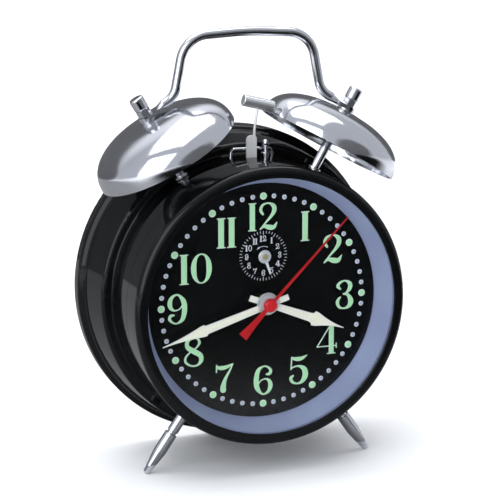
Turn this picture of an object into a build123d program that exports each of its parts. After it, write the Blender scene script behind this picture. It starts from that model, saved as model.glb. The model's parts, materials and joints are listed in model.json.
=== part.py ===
"""Twin-bell alarm clock with a key-wound movement, as separate pieces.

Everything is drawn round the centre of the dial's front face: X to the right, Y to the back, Z up.
The pieces are then saved with the feet standing on Z = 0 and the depth centred on Y = 0.
"""
from build123d import *
from math import atan2, cos, degrees, hypot, pi, radians, sin
import os

# ---------------------------------------------------------------- driving sizes, mm
SHEET = 0.8                    # wall of the pressed steel case
CASE_RADIUS = 52.4             # waist of the drum
CASE_FRONT = 1.4               # where the drum meets the bezel
STEP_Y, STEP_RISE = 20.2, 3.9  # the drum steps out behind its waist
FLARE_Y, FLARE_RISE = 36.6, 2.4
RIM_FRONT, RIM_RISE = 38.4, 2.3
CASE_BACK = 45.6
RIM_WIDTH = 3.6                # rolled edge, from its outside to the well of the cover
COVER_SEAT_Y, COVER_SEAT_WIDTH = 43.2, 3.4
COVER_SHEET = 0.8

BEZEL_DEPTH = 13.4             # from the drum's front edge to the front of the bezel
BEZEL_WALL, BEZEL_LIP_WIDTH, BEZEL_LIP = 2.0, 4.4, 1.0
SPIGOT_LENGTH, SPIGOT_WALL = 1.4, 1.0
GLASS = 1.2
REFLECTOR_SHEET = 0.5
VISIBLE_DIAL_RADIUS = 44.6
DIAL_MARGIN, DIAL_SHEET = 1.4, 0.6

BELL_ANGLE = 30.0              # lean of each bell from upright
BELL_Y = 16.5
BELL_STAND = 10.6              # from the drum to the mouth of a bell
BELL_RADIUS, BELL_HEIGHT, BELL_WALL, BELL_POWER = 27.8, 14.6, 0.9, 2.4
POST_RADIUS, POST_THREAD, POST_FOOT_RADIUS, POST_FOOT = 1.8, 1.3, 2.7, 1.0
POST_TAIL = 3.6                # threaded tail inside the case
STRAP_WIDTH, STRAP = 6.4, 1.4
WASHER_RADIUS, WASHER = 3.1, 0.5
POST_NUT_FLATS, POST_NUT = 4.8, 2.0
STRAP_NUT_FLATS, STRAP_NUT = 4.6, 2.6
CAP_RADIUS, CAP_HEIGHT, CAP_TOP = 2.7, 4.7, 0.9
HANDLE_RADIUS = 1.75
HANDLE_HALF_WIDTH, HANDLE_FLARE, HANDLE_RISE = 24.6, 4.2, 22.0
HANDLE_BEND, HANDLE_CORNER, HANDLE_CROWN, HANDLE_CROWN_RISE = 8.0, 11.0, 120.0, 1.5
HANDLE_LIFT, STRAP_REACH, BAR_START = 0.6, 4.0, 7.5  # the strap turns into the round bar

FOOT_ANGLE, FOOT_Y, FOOT_LENGTH = 35.0, 5.5, 25.7
FOOT_SHOULDER, FOOT_GROOVE, FOOT_BARREL = 7.0, 0.8, 8.0
FOOT_RADIUS, FOOT_BARREL_RADIUS, FOOT_GROOVE_RADIUS, FOOT_TIP_RADIUS = 2.1, 2.4, 1.7, 1.15
FOOT_TREAD = 0.14              # ground off the tips, so that they stand flat
FOOT_NUT_FLATS, FOOT_NUT, FOOT_TAIL = 4.2, 1.8, 3.2
FOOT_THREAD = 1.3
PAD_WIDTH, PAD_DEPTH, PAD_HEIGHT, PAD_CORNER = 12.0, 4.6, 5.4, 1.2

COVER_SCREW_ANGLES = (30.0, 150.0, 270.0)
COVER_SCREW_THREAD, COVER_SCREW_HEAD, COVER_SCREW_HEIGHT = 0.8, 1.6, 1.2
DRIVER_SLOT, DRIVER_SLOT_DEPTH = 0.9, 0.25
BEAD_IN, BEAD_OUT, BEAD = 31.0, 33.0, 0.5     # raised ring pressed in the rear cover
WINDOW_HALF_WIDTH, WINDOW_HALF_ANGLE = 1.3, 24.0  # slot in the cover for the regulator's tab

HEAD_RADIUS, HEAD_LENGTH, HEAD_TILT = 2.15, 12.2, 14.0
HEAD_X, HEAD_RISE = 1.9, 20.0          # middle of the striker's head, out from the drum
BLADE_WIDTH, BLADE, BLADE_RISE, BLADE_X = 4.0, 0.8, 8.2, -0.8
WIRE_RADIUS, WIRE_INSET = 0.5, 0.8
HAMMER_HUB, HAMMER_TAIL_HUB, HAMMER_TAIL = 3.2, 1.8, 1.4
SLOT_MIDDLE, SLOT_LENGTH, SLOT_WIDTH = -1.6, 10.4, 2.2
STOP_X, STOP_Y, STOP_SHANK, STOP_COLLAR, STOP_TAIL = 4.9, 11.0, 0.7, 1.15, 2.0
STOP_FLANGE, STOP_NECK, STOP_BALL = 2.2, 0.8, 1.45
STOP_COLLAR_TOP, STOP_FLANGE_TOP, STOP_NECK_TOP, STOP_BALL_RISE = 1.6, 2.0, 5.4, 5.2
RAIL_RADIUS, RAIL_Y, RAIL_HEIGHT, RAIL_ENDS = 0.65, 13.4, 2.8, (-8.0, 8.0)
RAIL_TAIL, RAIL_BEND = 3.0, 1.4

HAND_SHEET = 0.4
HOUR_NECK, HOUR_SHOULDER, HOUR_TAIL, HOUR_TAIL_WIDTH, HOUR_HUB = 2.5, 5.6, 7.6, 2.3, 4.2
MINUTE_NECK, MINUTE_SHOULDER, MINUTE_TAIL, MINUTE_TAIL_WIDTH, MINUTE_HUB = 2.4, 4.4, 8.0, 2.2, 3.6
SECONDS_TAIL, SECONDS_HUB, ALARM_TAIL, ALARM_HUB = 15.5, 2.5, 1.6, 1.9
ALARM_HAND_Y, HOUR_HAND_Y, MINUTE_HAND_Y, SECONDS_HAND_Y = -1.6, -5.2, -6.6, -8.0
HOUR_LENGTH, MINUTE_LENGTH, SECONDS_LENGTH, ALARM_LENGTH = 32.4, 43.0, 43.6, 7.2
CLOCK_HOURS, CLOCK_MINUTES, CLOCK_SECONDS = 3, 42, 7.4
ALARM_HOURS = 5.37

RUNNING = 0.05                 # radial clearance of a shaft in its hole
FIT = 0.1                      # gap between pieces that touch or slip together
TIGHT = 0.02                   # gap between pieces that are screwed or pressed together
PLATE, PLATE_RADIUS = 1.2, 46.5
FRONT_PLATE_Y, BACK_PLATE_Y = 8.0, 32.0
EAR_WIDTH, EAR_ANGLES = 9.0, (30.0, 180.0, 270.0)
PILLAR_RADIUS, PILLAR_TENON, PILLAR_NUT_FLATS, PILLAR_NUT = 2.2, 1.1, 4.0, 1.6
ARBOR, PIVOT = 0.8, 0.5
SMALL_ARBOR, SMALL_PIVOT = 0.5, 0.3

ALARM_CENTRE = (0.0, 17.1)
TIME_BARREL_ANGLE, ALARM_BARREL = -35.0, (-26.0, 16.0)
THIRD_ANGLE, ESCAPE_ANGLE, ALARM_ESCAPE_ANGLE = 235.0, 60.0, 35.0
MINUTE_WHEEL_ANGLE, SET_PINION_ANGLE = 169.5, 197.8
PALLET_STEP, PALLET_ANGLE = 7.6, 45.0
BALANCE_STEP, BALANCE_ANGLE = 12.0, 40.0
HAMMER_PIVOT, HAMMER_Y = (0.0, 33.5), 11.0
PILLARS = ((30.0, -33.0), (-30.0, -30.0), (30.0, 30.5), (-15.0, 41.0))
BUTTON_PLACE = (7.0, 41.0)
DIAL_FEET = (60.0, 180.0, 300.0)
DIAL_FOOT_PLACE_RADIUS, DIAL_FOOT_RADIUS = 40.0, 1.5

GREAT_TEETH, CENTRE_PINION, GREAT_MODULE = 72, 12, 0.5
CENTRE_TEETH, THIRD_PINION, CENTRE_MODULE = 64, 8, 0.4
THIRD_TEETH, FOURTH_PINION = 60, 8
FOURTH_TEETH, ESCAPE_PINION, FOURTH_MODULE = 60, 6, 0.3
CANNON_TEETH, MINUTE_TEETH, MINUTE_PINION, HOUR_TEETH = 16, 32, 8, 48
SET_TEETH = 12
ALARM_GREAT_TEETH, ALARM_PINION = 56, 8
ESCAPE_TEETH, ESCAPE_RADIUS = 15, 5.4
ALARM_ESCAPE_TEETH, ALARM_ESCAPE_RADIUS = 18, 5.5

SPRING_RADIUS, SPRING_STRIP, SPRING_TURNS = 11.0, 0.45, 7
SPRING_FRONT, SPRING_BACK = 15.6, 29.4
RATCHET_COLLAR, SPRING_CORE = 2.6, 2.4
CLICK_REACH, CLICK_ANGLE, CLICK_NOSE, CLICK_HUB, CLICK_STUD = 9.0, -90.0, 4.6, 1.5, 0.7
WINDING_ARBOR, BUTTON_ROD = 1.5, 1.2
BUTTON_HEAD, BUTTON_HEAD_FRONT, BUTTON_HEAD_BACK = 3.0, 2.4, 5.6
KEY_SPAN, KEY_HEIGHT, KEY_SHEET, KEY_HUB, KEY_LENGTH = 22.0, 7.0, 1.6, 3.2, 9.0
KEY_STANDOFF, KEY_HUB_SHORT, KEY_SOCKET_SHORT = 0.9, 3.4, 2.0
TIME_KEY_TURN, ALARM_KEY_TURN = 62.0, 118.0
KNOB_RADIUS, KNOB_LENGTH, KNOB_FLUTES, FLUTE_RADIUS = 5.2, 5.6, 18, 0.7
KNOB_STANDOFF, KNOB_ARBOR_END = 1.2, 5.5
BALANCE_RADIUS, BALANCE_RIM = 9.5, 1.2
ROLLER_RADIUS, ROLLER, IMPULSE_PIN, IMPULSE_PIN_REACH = 3.0, 0.8, 0.35, 2.4
HAIRSPRING_RADIUS, HAIRSPRING_STRIP, HAIRSPRING_TURNS = 5.2, 0.2, 5
STUD_RADIUS = 0.8
REGULATOR_ANGLE, REGULATOR_REACH, REGULATOR_BOSS, REGULATOR_RING = 80.0, 12.5, 1.9, 1.6
REGULATOR_ARM, REGULATOR_TAB, REGULATOR_SHEET = 1.8, 0.8, 0.6
BRIDGE_FOOT, BRIDGE_POST, BRIDGE_WIDTH = (5.0, 18.6), 1.3, 3.2

# ---------------------------------------------------------------- sizes worked out from those
BEZEL_FRONT = CASE_FRONT - BEZEL_DEPTH
BEZEL_INSIDE = CASE_RADIUS - BEZEL_WALL
OPENING_RADIUS = CASE_RADIUS - BEZEL_LIP_WIDTH
GLASS_FRONT = BEZEL_FRONT + BEZEL_LIP + FIT
REFLECTOR_FRONT = GLASS_FRONT + GLASS + FIT
DIAL_RADIUS = VISIBLE_DIAL_RADIUS + DIAL_MARGIN
STEP_RADIUS = CASE_RADIUS + STEP_RISE
FLARE_RADIUS = STEP_RADIUS + FLARE_RISE
RIM_RADIUS = FLARE_RADIUS + RIM_RISE
WELL_RADIUS = RIM_RADIUS - RIM_WIDTH
SEAT_RADIUS = WELL_RADIUS - COVER_SEAT_WIDTH
DRUM_INSIDE = CASE_RADIUS - SHEET
COVER_FRONT = COVER_SEAT_Y
COVER_BACK = COVER_FRONT + COVER_SHEET
COVER_SCREW_RADIUS = SEAT_RADIUS + COVER_SEAT_WIDTH / 2
BELL_MOUTH = CASE_RADIUS + BELL_STAND
BELL_TOP = BELL_MOUTH + BELL_HEIGHT
STRAP_BOTTOM = BELL_TOP + WASHER + 2 * FIT
STRAP_TOP = STRAP_BOTTOM + STRAP
NUT_BOTTOM = STRAP_TOP + FIT
CAP_BOTTOM = NUT_BOTTOM + STRAP_NUT + FIT
CAP_END = CAP_BOTTOM + CAP_HEIGHT
POST_END = CAP_END - CAP_TOP - FIT
FOOT_END = CASE_RADIUS + FOOT_LENGTH
DIAL_HEIGHT = (FOOT_END - FOOT_TIP_RADIUS) * cos(radians(FOOT_ANGLE)) + FOOT_TIP_RADIUS - FOOT_TREAD
KEY_BACK = COVER_BACK + FIT + KEY_STANDOFF + KEY_LENGTH
DEPTH_MIDDLE = (BEZEL_FRONT + KEY_BACK) / 2
MOVEMENT_FRONT = FRONT_PLATE_Y + PLATE
MOVEMENT_BACK = BACK_PLATE_Y + PLATE
HEAD_MIDDLE = (HEAD_X, CASE_RADIUS + HEAD_RISE)


def polar(distance, angle, start=(0.0, 0.0)):
    """Point at an angle measured from +X towards +Z, seen from the front."""
    return (start[0] + distance * cos(radians(angle)), start[1] + distance * sin(radians(angle)))


def bearing(start, end):
    """Angle in degrees of the line from one point to another."""
    return degrees(atan2(end[1] - start[1], end[0] - start[0]))


def reach(teeth_a, teeth_b, module):
    """Distance between the centres of two meshed wheels."""
    return (teeth_a + teeth_b) * module / 2


CENTRE = (0.0, 0.0)
GREAT_REACH = reach(GREAT_TEETH, CENTRE_PINION, GREAT_MODULE)
THIRD_REACH = reach(CENTRE_TEETH, THIRD_PINION, CENTRE_MODULE)
THIRD_MODULE = 2 * THIRD_REACH / (THIRD_TEETH + FOURTH_PINION)
ESCAPE_REACH = reach(FOURTH_TEETH, ESCAPE_PINION, FOURTH_MODULE)
HOUR_MODULE = 2 * ALARM_CENTRE[1] / (2 * HOUR_TEETH)
MINUTE_REACH = reach(MINUTE_PINION, HOUR_TEETH, HOUR_MODULE)
CANNON_MODULE = 2 * MINUTE_REACH / (CANNON_TEETH + MINUTE_TEETH)
SET_REACH = reach(MINUTE_TEETH, SET_TEETH, CANNON_MODULE)
TIME_BARREL = polar(GREAT_REACH, TIME_BARREL_ANGLE)
THIRD_PLACE = polar(THIRD_REACH, THIRD_ANGLE)
ESCAPE_PLACE = polar(ESCAPE_REACH, ESCAPE_ANGLE)
PALLET_PLACE = polar(PALLET_STEP, PALLET_ANGLE, ESCAPE_PLACE)
BALANCE_PLACE = polar(BALANCE_STEP, BALANCE_ANGLE, PALLET_PLACE)
STUD_PLACE = polar(HAIRSPRING_RADIUS + STUD_RADIUS + 0.03, 0, BALANCE_PLACE)
MINUTE_PLACE = polar(MINUTE_REACH, MINUTE_WHEEL_ANGLE)
SET_PLACE = polar(SET_REACH, SET_PINION_ANGLE, MINUTE_PLACE)
ALARM_REACH = reach(ALARM_GREAT_TEETH, ALARM_PINION, GREAT_MODULE)
ALARM_ESCAPE_PLACE = polar(ALARM_REACH, ALARM_ESCAPE_ANGLE, ALARM_BARREL)

MINUTE_HAND_ANGLE = 6 * (CLOCK_MINUTES + CLOCK_SECONDS / 60)
HOUR_HAND_ANGLE = 30 * CLOCK_HOURS + MINUTE_HAND_ANGLE / 12
SECONDS_HAND_ANGLE = 6 * CLOCK_SECONDS

# Stations along Y, front to back, of the wheels and tubes.
HOUR_WHEEL_Y, CANNON_PINION_Y, WHEEL = 2.2, 5.0, 0.8
GREAT_WHEEL_Y, GREAT_WHEEL = 11.0, 1.4
RATCHET_Y, RATCHET, RATCHET_RADIUS, RATCHET_TEETH = 12.9, 1.4, 5.0, 14
CENTRE_WHEEL_Y, THIRD_WHEEL_Y, FOURTH_WHEEL_Y, ESCAPE_WHEEL_Y = 13.5, 21.0, 26.0, 29.4
ALARM_ESCAPE_Y, BRIDGE_Y = 30.0, 15.2
PALLET_Y, FORK_GAP, BALANCE_Y, HAIRSPRING_Y = 29.3, 0.4, 16.0, 20.0
CENTRE_TUBE_BACK = 19.4
FOURTH_ARBOR, CENTRE_TUBE, CANNON_TUBE, HOUR_TUBE = 0.7, 1.25, 1.85, 2.5
PINION_OVERHANG = 0.6

shelf = {}


def save(name, shape):
    """Keep a piece, moved from the dial's centre to the standing place."""
    shelf[name] = Pos(0, -DEPTH_MIDDLE, DIAL_HEIGHT) * shape


# ---------------------------------------------------------------- ways of making a piece
def slab(flat, front, back):
    """A flat shape, drawn in X and Z, with its thickness from front to back along Y."""
    return extrude(Plane.XZ.offset(-back) * flat, amount=back - front)


def rod(place, radius, front, back):
    """A round bar along Y."""
    return slab(Pos(*place) * Circle(radius), front, back)


def tube(place, radius, bore, front, back):
    return rod(place, radius, front, back) - rod(place, bore, front - 1, back + 1)


def ring(points, radii=0):
    """A ring turned about the dial's axis, from points of radius and depth."""
    outline = FilletPolyline(*points, radius=radii, close=True)
    return revolve(make_face(outline), Axis.Y)


def turned(points, radii=0):
    """A piece turned about its own upright axis, from points of radius and height."""
    outline = FilletPolyline(*points, radius=radii, close=True)
    return revolve(make_face(Plane.XZ * outline), Axis.Z)


def upright_rod(radius, bottom, top):
    return Pos(0, 0, bottom) * Cylinder(radius, top - bottom, align=(Align.CENTER, Align.CENTER, Align.MIN))


def upright_hex(flats, bore, bottom, height):
    """A hexagonal nut whose axis stands up, with its top corners eased."""
    nut = extrude(Pos(0, 0, bottom) * RegularPolygon(flats / 2, 6, major_radius=False), amount=height)
    corner = flats / 2 / cos(pi / 6)
    ease = turned([(0, bottom), (corner, bottom), (corner, bottom + height - 0.3),
                   (flats / 2, bottom + height), (0, bottom + height)])
    return (nut & ease) - upright_rod(bore, bottom - 1, bottom + height + 1)


def depth_hex(place, flats, bore, front, back):
    """A hexagonal nut whose axis lies along Y."""
    flat = Pos(*place) * (RegularPolygon(flats / 2, 6, major_radius=False) - Circle(bore))
    return slab(flat, front, back)


def leaning(angle, depth):
    """Place for a piece that stands out of the drum, tilted to the right by an angle."""
    return Pos(0, depth, 0) * Rot(0, angle, 0)


# ---------------------------------------------------------------- wheels and pinions
def toothed(teeth, module, phase, addendum, dedendum, root_half, pitch_half, tip_half):
    """Outline of a clock wheel, the first tooth at the phase angle in degrees."""
    radius = teeth * module / 2
    stations = [(radius - dedendum * module, -root_half), (radius, -pitch_half),
                (radius + addendum * module, -tip_half), (radius + addendum * module, tip_half),
                (radius, pitch_half), (radius - dedendum * module, root_half)]
    points = [polar(r, phase + 360 / teeth * (tooth + share))
              for tooth in range(teeth) for r, share in stations]
    return make_face(Polyline(*points, close=True))


def wheel_outline(teeth, module, phase):
    return toothed(teeth, module, phase, 0.75, 1.0, 0.21, 0.19, 0.08)


def pinion_outline(teeth, module, phase):
    return toothed(teeth, module, phase, 0.55, 1.1, 0.13, 0.15, 0.07)


def meshed(teeth_a, phase_a, direction, teeth_b):
    """Phase of a wheel that puts a gap at the tooth of the wheel it meshes with."""
    turns = (direction - phase_a) * teeth_a / 360
    share = turns - int(turns)
    return direction + 180 - (0.5 - share) * 360 / teeth_b


def crossed(outline, radius, rim, hub, arms):
    """Cut a wheel's crossings, leaving its rim, its hub and straight arms."""
    window = Circle(radius - rim) - Circle(hub)
    for arm in range(arms):
        bar = Pos(*polar(radius / 2, 360 / arms * arm)) * Rot(0, 0, 360 / arms * arm)
        window -= bar * Rectangle(radius, 1.4)
    return outline - window


def wheel(place, teeth, module, phase, front, back, arms=4, hub=2.2):
    outline = crossed(wheel_outline(teeth, module, phase), teeth * module / 2 - module, 1.3, hub, arms)
    return slab(Pos(*place) * outline, front, back)


def pinion(place, teeth, module, phase, front, back):
    return slab(Pos(*place) * pinion_outline(teeth, module, phase), front, back)


def arbor(place, front, back, radius=ARBOR, pivot=PIVOT):
    """A wheel's axle between two plates, with a thin pivot through each plate."""
    body = rod(place, radius, front + RUNNING, back - RUNNING)
    return body + rod(place, pivot, front - PLATE, back + PLATE)


def sawtooth(teeth, radius, depth, phase=0.0):
    """Outline of a ratchet or escape wheel with hooked teeth."""
    points = []
    for tooth in range(teeth):
        start = phase + 360 / teeth * tooth
        points += [polar(radius, start), polar(radius - depth, start + 360 / teeth * 0.12)]
    return make_face(Polyline(*points, close=True))


def strip_spiral(place, inner, outer, strip, turns, front, back):
    """A flat spring wound in a spiral, as a strip with its two edges drawn as curves."""
    steps = turns * 8
    middle = [polar(inner + (outer - inner) * i / steps, 45 * i) for i in range(steps + 1)]
    inside = [polar(inner + (outer - inner) * i / steps - strip, 45 * i) for i in range(steps + 1)]
    near, far = Spline(*middle), Spline(*inside)
    ends = [Line(near @ 0, far @ 0), Line(near @ 1, far @ 1)]
    return slab(Pos(*place) * make_face([near, far, *ends]), front, back)


# ---------------------------------------------------------------- case
def case_drum():
    inside = DRUM_INSIDE
    points = [(CASE_RADIUS, CASE_FRONT), (CASE_RADIUS, STEP_Y), (STEP_RADIUS, STEP_Y),
              (FLARE_RADIUS, FLARE_Y), (RIM_RADIUS, RIM_FRONT), (RIM_RADIUS, CASE_BACK),
              (WELL_RADIUS, CASE_BACK), (WELL_RADIUS, COVER_SEAT_Y), (SEAT_RADIUS, COVER_SEAT_Y),
              (SEAT_RADIUS, COVER_SEAT_Y - SHEET), (WELL_RADIUS + SHEET, COVER_SEAT_Y - SHEET),
              (WELL_RADIUS + SHEET, CASE_BACK - SHEET), (RIM_RADIUS - SHEET, CASE_BACK - SHEET),
              (RIM_RADIUS - SHEET, RIM_FRONT + SHEET), (FLARE_RADIUS - SHEET, FLARE_Y + SHEET),
              (STEP_RADIUS - SHEET, STEP_Y + SHEET), (inside, STEP_Y + SHEET), (inside, CASE_FRONT)]
    radii = [0, 0.9, 1.6, 1.5, 2.2, 2.2, 0.9, 0, 0, 0, 0, 0.6, 1.4, 1.4, 0.8, 0.8, 1.4, 0]
    drum = ring(points, radii)
    for side in (-1, 1):
        post_hole = upright_rod(POST_THREAD + FIT, inside - 5, CASE_RADIUS + 5)
        foot_hole = upright_rod(FOOT_THREAD + FIT, inside - 5, CASE_RADIUS + 5)
        drum -= leaning(side * BELL_ANGLE, BELL_Y) * post_hole
        drum -= leaning(180 - side * FOOT_ANGLE, FOOT_Y) * foot_hole
    drum -= Pos(SLOT_MIDDLE, HAMMER_Y, CASE_RADIUS) * Box(SLOT_LENGTH, SLOT_WIDTH, 8)
    drum -= Pos(STOP_X, STOP_Y, 0) * upright_rod(STOP_SHANK + FIT, inside - 5, CASE_RADIUS + 5)
    for end in RAIL_ENDS:
        drum -= Pos(end, RAIL_Y, 0) * upright_rod(RAIL_RADIUS + FIT, inside - 5, CASE_RADIUS + 5)
    for angle in COVER_SCREW_ANGLES:
        place = polar(COVER_SCREW_RADIUS, angle)
        drum -= rod(place, COVER_SCREW_THREAD + RUNNING, COVER_SEAT_Y - 2, COVER_SEAT_Y + 0.01)
    return drum


def bezel():
    spigot_in = BEZEL_INSIDE
    spigot_out = min(BEZEL_INSIDE + SPIGOT_WALL, DRUM_INSIDE - FIT)
    back = CASE_FRONT - TIGHT
    points = [(OPENING_RADIUS, BEZEL_FRONT), (CASE_RADIUS, BEZEL_FRONT), (CASE_RADIUS, back),
              (spigot_out, back), (spigot_out, CASE_FRONT + SPIGOT_LENGTH),
              (spigot_in, CASE_FRONT + SPIGOT_LENGTH), (spigot_in, BEZEL_FRONT + BEZEL_LIP),
              (OPENING_RADIUS, BEZEL_FRONT + BEZEL_LIP)]
    return ring(points, [0.4, 2.6, 0.25, 0, 0, 0, 0, 0.4])


def crystal():
    return slab(Circle(BEZEL_INSIDE - 2 * FIT), GLASS_FRONT, GLASS_FRONT + GLASS)


def reflector_ring():
    t, back = REFLECTOR_SHEET, -FIT / 2
    outside = BEZEL_INSIDE - 2 * FIT
    points = [(outside, REFLECTOR_FRONT), (OPENING_RADIUS, REFLECTOR_FRONT),
              (VISIBLE_DIAL_RADIUS, back - t), (VISIBLE_DIAL_RADIUS, back), (DIAL_RADIUS, back),
              (DIAL_RADIUS, back - t), (VISIBLE_DIAL_RADIUS + t, back - t),
              (OPENING_RADIUS + t, REFLECTOR_FRONT + t), (outside, REFLECTOR_FRONT + t)]
    return ring(points)


def dial_plate():
    plate = slab(Circle(DIAL_RADIUS), 0, DIAL_SHEET)
    plate -= rod(CENTRE, HOUR_TUBE + 4 * RUNNING, -1, 1)
    plate -= rod(ALARM_CENTRE, ARBOR + 4 * RUNNING, -1, 1)
    for angle in DIAL_FEET:
        place = polar(DIAL_FOOT_PLACE_RADIUS, angle)
        plate += rod(place, DIAL_FOOT_RADIUS, DIAL_SHEET, FRONT_PLATE_Y - TIGHT)
        plate += rod(place, DIAL_FOOT_RADIUS / 2, FRONT_PLATE_Y - TIGHT, MOVEMENT_FRONT + DIAL_SHEET)
    return plate


def rear_cover():
    cover = slab(Circle(WELL_RADIUS - FIT), COVER_FRONT + 0.01, COVER_BACK)
    cover += ring([(BEAD_IN, COVER_BACK - 0.01), (BEAD_OUT, COVER_BACK - 0.01),
                   (BEAD_OUT - 0.6, COVER_BACK + BEAD), (BEAD_IN + 0.6, COVER_BACK + BEAD)])
    for place in (TIME_BARREL, ALARM_BARREL):
        cover -= rod(place, WINDING_ARBOR + 6 * RUNNING, 0, 60)
    for place in (SET_PLACE, ALARM_CENTRE):
        cover -= rod(place, ARBOR + 6 * RUNNING, 0, 60)
    cover -= rod(BUTTON_PLACE, BUTTON_ROD + RUNNING, 0, 60)
    for angle in COVER_SCREW_ANGLES:
        cover -= rod(polar(COVER_SCREW_RADIUS, angle), COVER_SCREW_THREAD + FIT, 0, 60)
    track = Circle(REGULATOR_REACH + WINDOW_HALF_WIDTH) - Circle(REGULATOR_REACH - WINDOW_HALF_WIDTH)
    sector = make_face(Polyline((0, 0), polar(40, REGULATOR_ANGLE - WINDOW_HALF_ANGLE),
                                polar(40, REGULATOR_ANGLE + WINDOW_HALF_ANGLE), close=True))
    return cover - slab(Pos(*BALANCE_PLACE) * (track & sector), 0, 60)


def cover_screws():
    """Three cheese-head screws with driver slots."""
    screws = []
    for angle in COVER_SCREW_ANGLES:
        place = polar(COVER_SCREW_RADIUS, angle)
        top = COVER_BACK + COVER_SCREW_HEIGHT
        screw = rod(place, COVER_SCREW_HEAD, COVER_BACK + 0.01, top)
        screw -= Pos(place[0], top, place[1]) * Box(4, DRIVER_SLOT, 2 * DRIVER_SLOT_DEPTH)
        tail = COVER_SEAT_Y - SHEET - COVER_SCREW_HEIGHT
        screws.append(screw + rod(place, COVER_SCREW_THREAD, tail, COVER_BACK + TIGHT))
    return Compound(screws)


def foot(side):
    """A turned foot: threaded tail, shoulder, groove, barrel and a taper to its tip."""
    start = CASE_RADIUS + TIGHT
    groove = start + FOOT_SHOULDER
    barrel = groove + FOOT_GROOVE
    taper = barrel + FOOT_BARREL
    end = FOOT_END
    tail = start - SHEET - FOOT_TAIL
    points = [(0, tail), (FOOT_THREAD, tail), (FOOT_THREAD, start),
              (FOOT_RADIUS, start), (FOOT_RADIUS, groove), (FOOT_GROOVE_RADIUS, groove),
              (FOOT_GROOVE_RADIUS, barrel), (FOOT_BARREL_RADIUS, barrel), (FOOT_BARREL_RADIUS, taper),
              (FOOT_TIP_RADIUS, end), (0, end)]
    shape = turned(points, [0, 0.2, 0, 0.2, 0.3, 0, 0, 0.3, 1.2, FOOT_TIP_RADIUS * 0.9, 0])
    stood = leaning(180 - side * FOOT_ANGLE, FOOT_Y) * shape
    return stood - Pos(0, FOOT_Y, -DIAL_HEIGHT - 5) * Box(400, 40, 10)


def foot_nuts():
    nuts = []
    for side in (-1, 1):
        nut = upright_hex(FOOT_NUT_FLATS, FOOT_THREAD + TIGHT, DRUM_INSIDE - 0.12 - FOOT_NUT, FOOT_NUT)
        nuts.append(leaning(180 - side * FOOT_ANGLE, FOOT_Y) * nut)
    return Compound(nuts)


def rear_foot():
    """A moulded pad shaped to the underside of the rolled edge."""
    pad = Pos(0, CASE_BACK - 0.4 - PAD_DEPTH / 2, -DIAL_HEIGHT) * Box(
        PAD_WIDTH, PAD_DEPTH, PAD_HEIGHT, align=(Align.CENTER, Align.CENTER, Align.MIN))
    pad = fillet(pad.edges().filter_by(Axis.Z), PAD_CORNER)
    edge = ring([(0, CASE_BACK - 6), (RIM_RADIUS + 0.04, CASE_BACK - 6),
                 (RIM_RADIUS + 0.04, CASE_BACK), (0, CASE_BACK)], [0, 0, 2.1, 0])
    return pad - edge


# ---------------------------------------------------------------- bells and handle
def dome(radius, height, bottom):
    """Solid of a bell's outside: a steep-sided dome on a superellipse."""
    steps = 10
    heights = [sin(pi / 2 * i / steps) for i in range(steps)]
    points = [(radius * (1 - h ** BELL_POWER) ** (1 / BELL_POWER), bottom + height * h) for h in heights]
    curve = Spline(*points, (0, bottom + height), tangents=((0, 1), (-1, 0)))
    sides = Polyline((0, bottom + height), (0, bottom), (radius, bottom))
    return revolve(make_face(Plane.XZ * (Curve() + [curve, sides])), Axis.Z)


def bell(side):
    outer = dome(BELL_RADIUS, BELL_HEIGHT, BELL_MOUTH)
    inner = dome(BELL_RADIUS - BELL_WALL, BELL_HEIGHT - BELL_WALL, BELL_MOUTH)
    shell = outer - inner - upright_rod(POST_THREAD + FIT, BELL_MOUTH, BELL_TOP + 5)
    return leaning(side * BELL_ANGLE, BELL_Y) * shell


def bell_post(side):
    start = CASE_RADIUS + TIGHT
    shoulder = BELL_TOP - BELL_WALL - FIT / 2
    points = [(0, DRUM_INSIDE - POST_TAIL), (POST_THREAD, DRUM_INSIDE - POST_TAIL), (POST_THREAD, start),
              (POST_FOOT_RADIUS, start), (POST_FOOT_RADIUS, start + POST_FOOT),
              (POST_RADIUS, start + POST_FOOT), (POST_RADIUS, shoulder), (POST_THREAD, shoulder),
              (POST_THREAD, POST_END), (0, POST_END)]
    return leaning(side * BELL_ANGLE, BELL_Y) * turned(points, [0, 0.3, 0, 0.3, 0.3, 0, 0, 0, 0.3, 0])


def on_posts(make):
    """The same piece on both bell posts."""
    return Compound([leaning(side * BELL_ANGLE, BELL_Y) * make() for side in (-1, 1)])


def post_nut():
    return upright_hex(POST_NUT_FLATS, POST_THREAD + TIGHT, DRUM_INSIDE - 0.15 - POST_NUT, POST_NUT)


def bell_washer():
    bottom = BELL_TOP + FIT
    return upright_rod(WASHER_RADIUS, bottom, bottom + WASHER) - upright_rod(POST_THREAD + FIT, 0, 200)


def strap_nut():
    return upright_hex(STRAP_NUT_FLATS, POST_THREAD + TIGHT, NUT_BOTTOM, STRAP_NUT)


def cap_nut():
    points = [(0, CAP_BOTTOM), (CAP_RADIUS, CAP_BOTTOM), (CAP_RADIUS, CAP_END), (0, CAP_END)]
    cap = turned(points, [0, 0.5, 0.8, 0])
    return cap - upright_rod(POST_THREAD + TIGHT, CAP_BOTTOM - 1, CAP_END - CAP_TOP)


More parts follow.
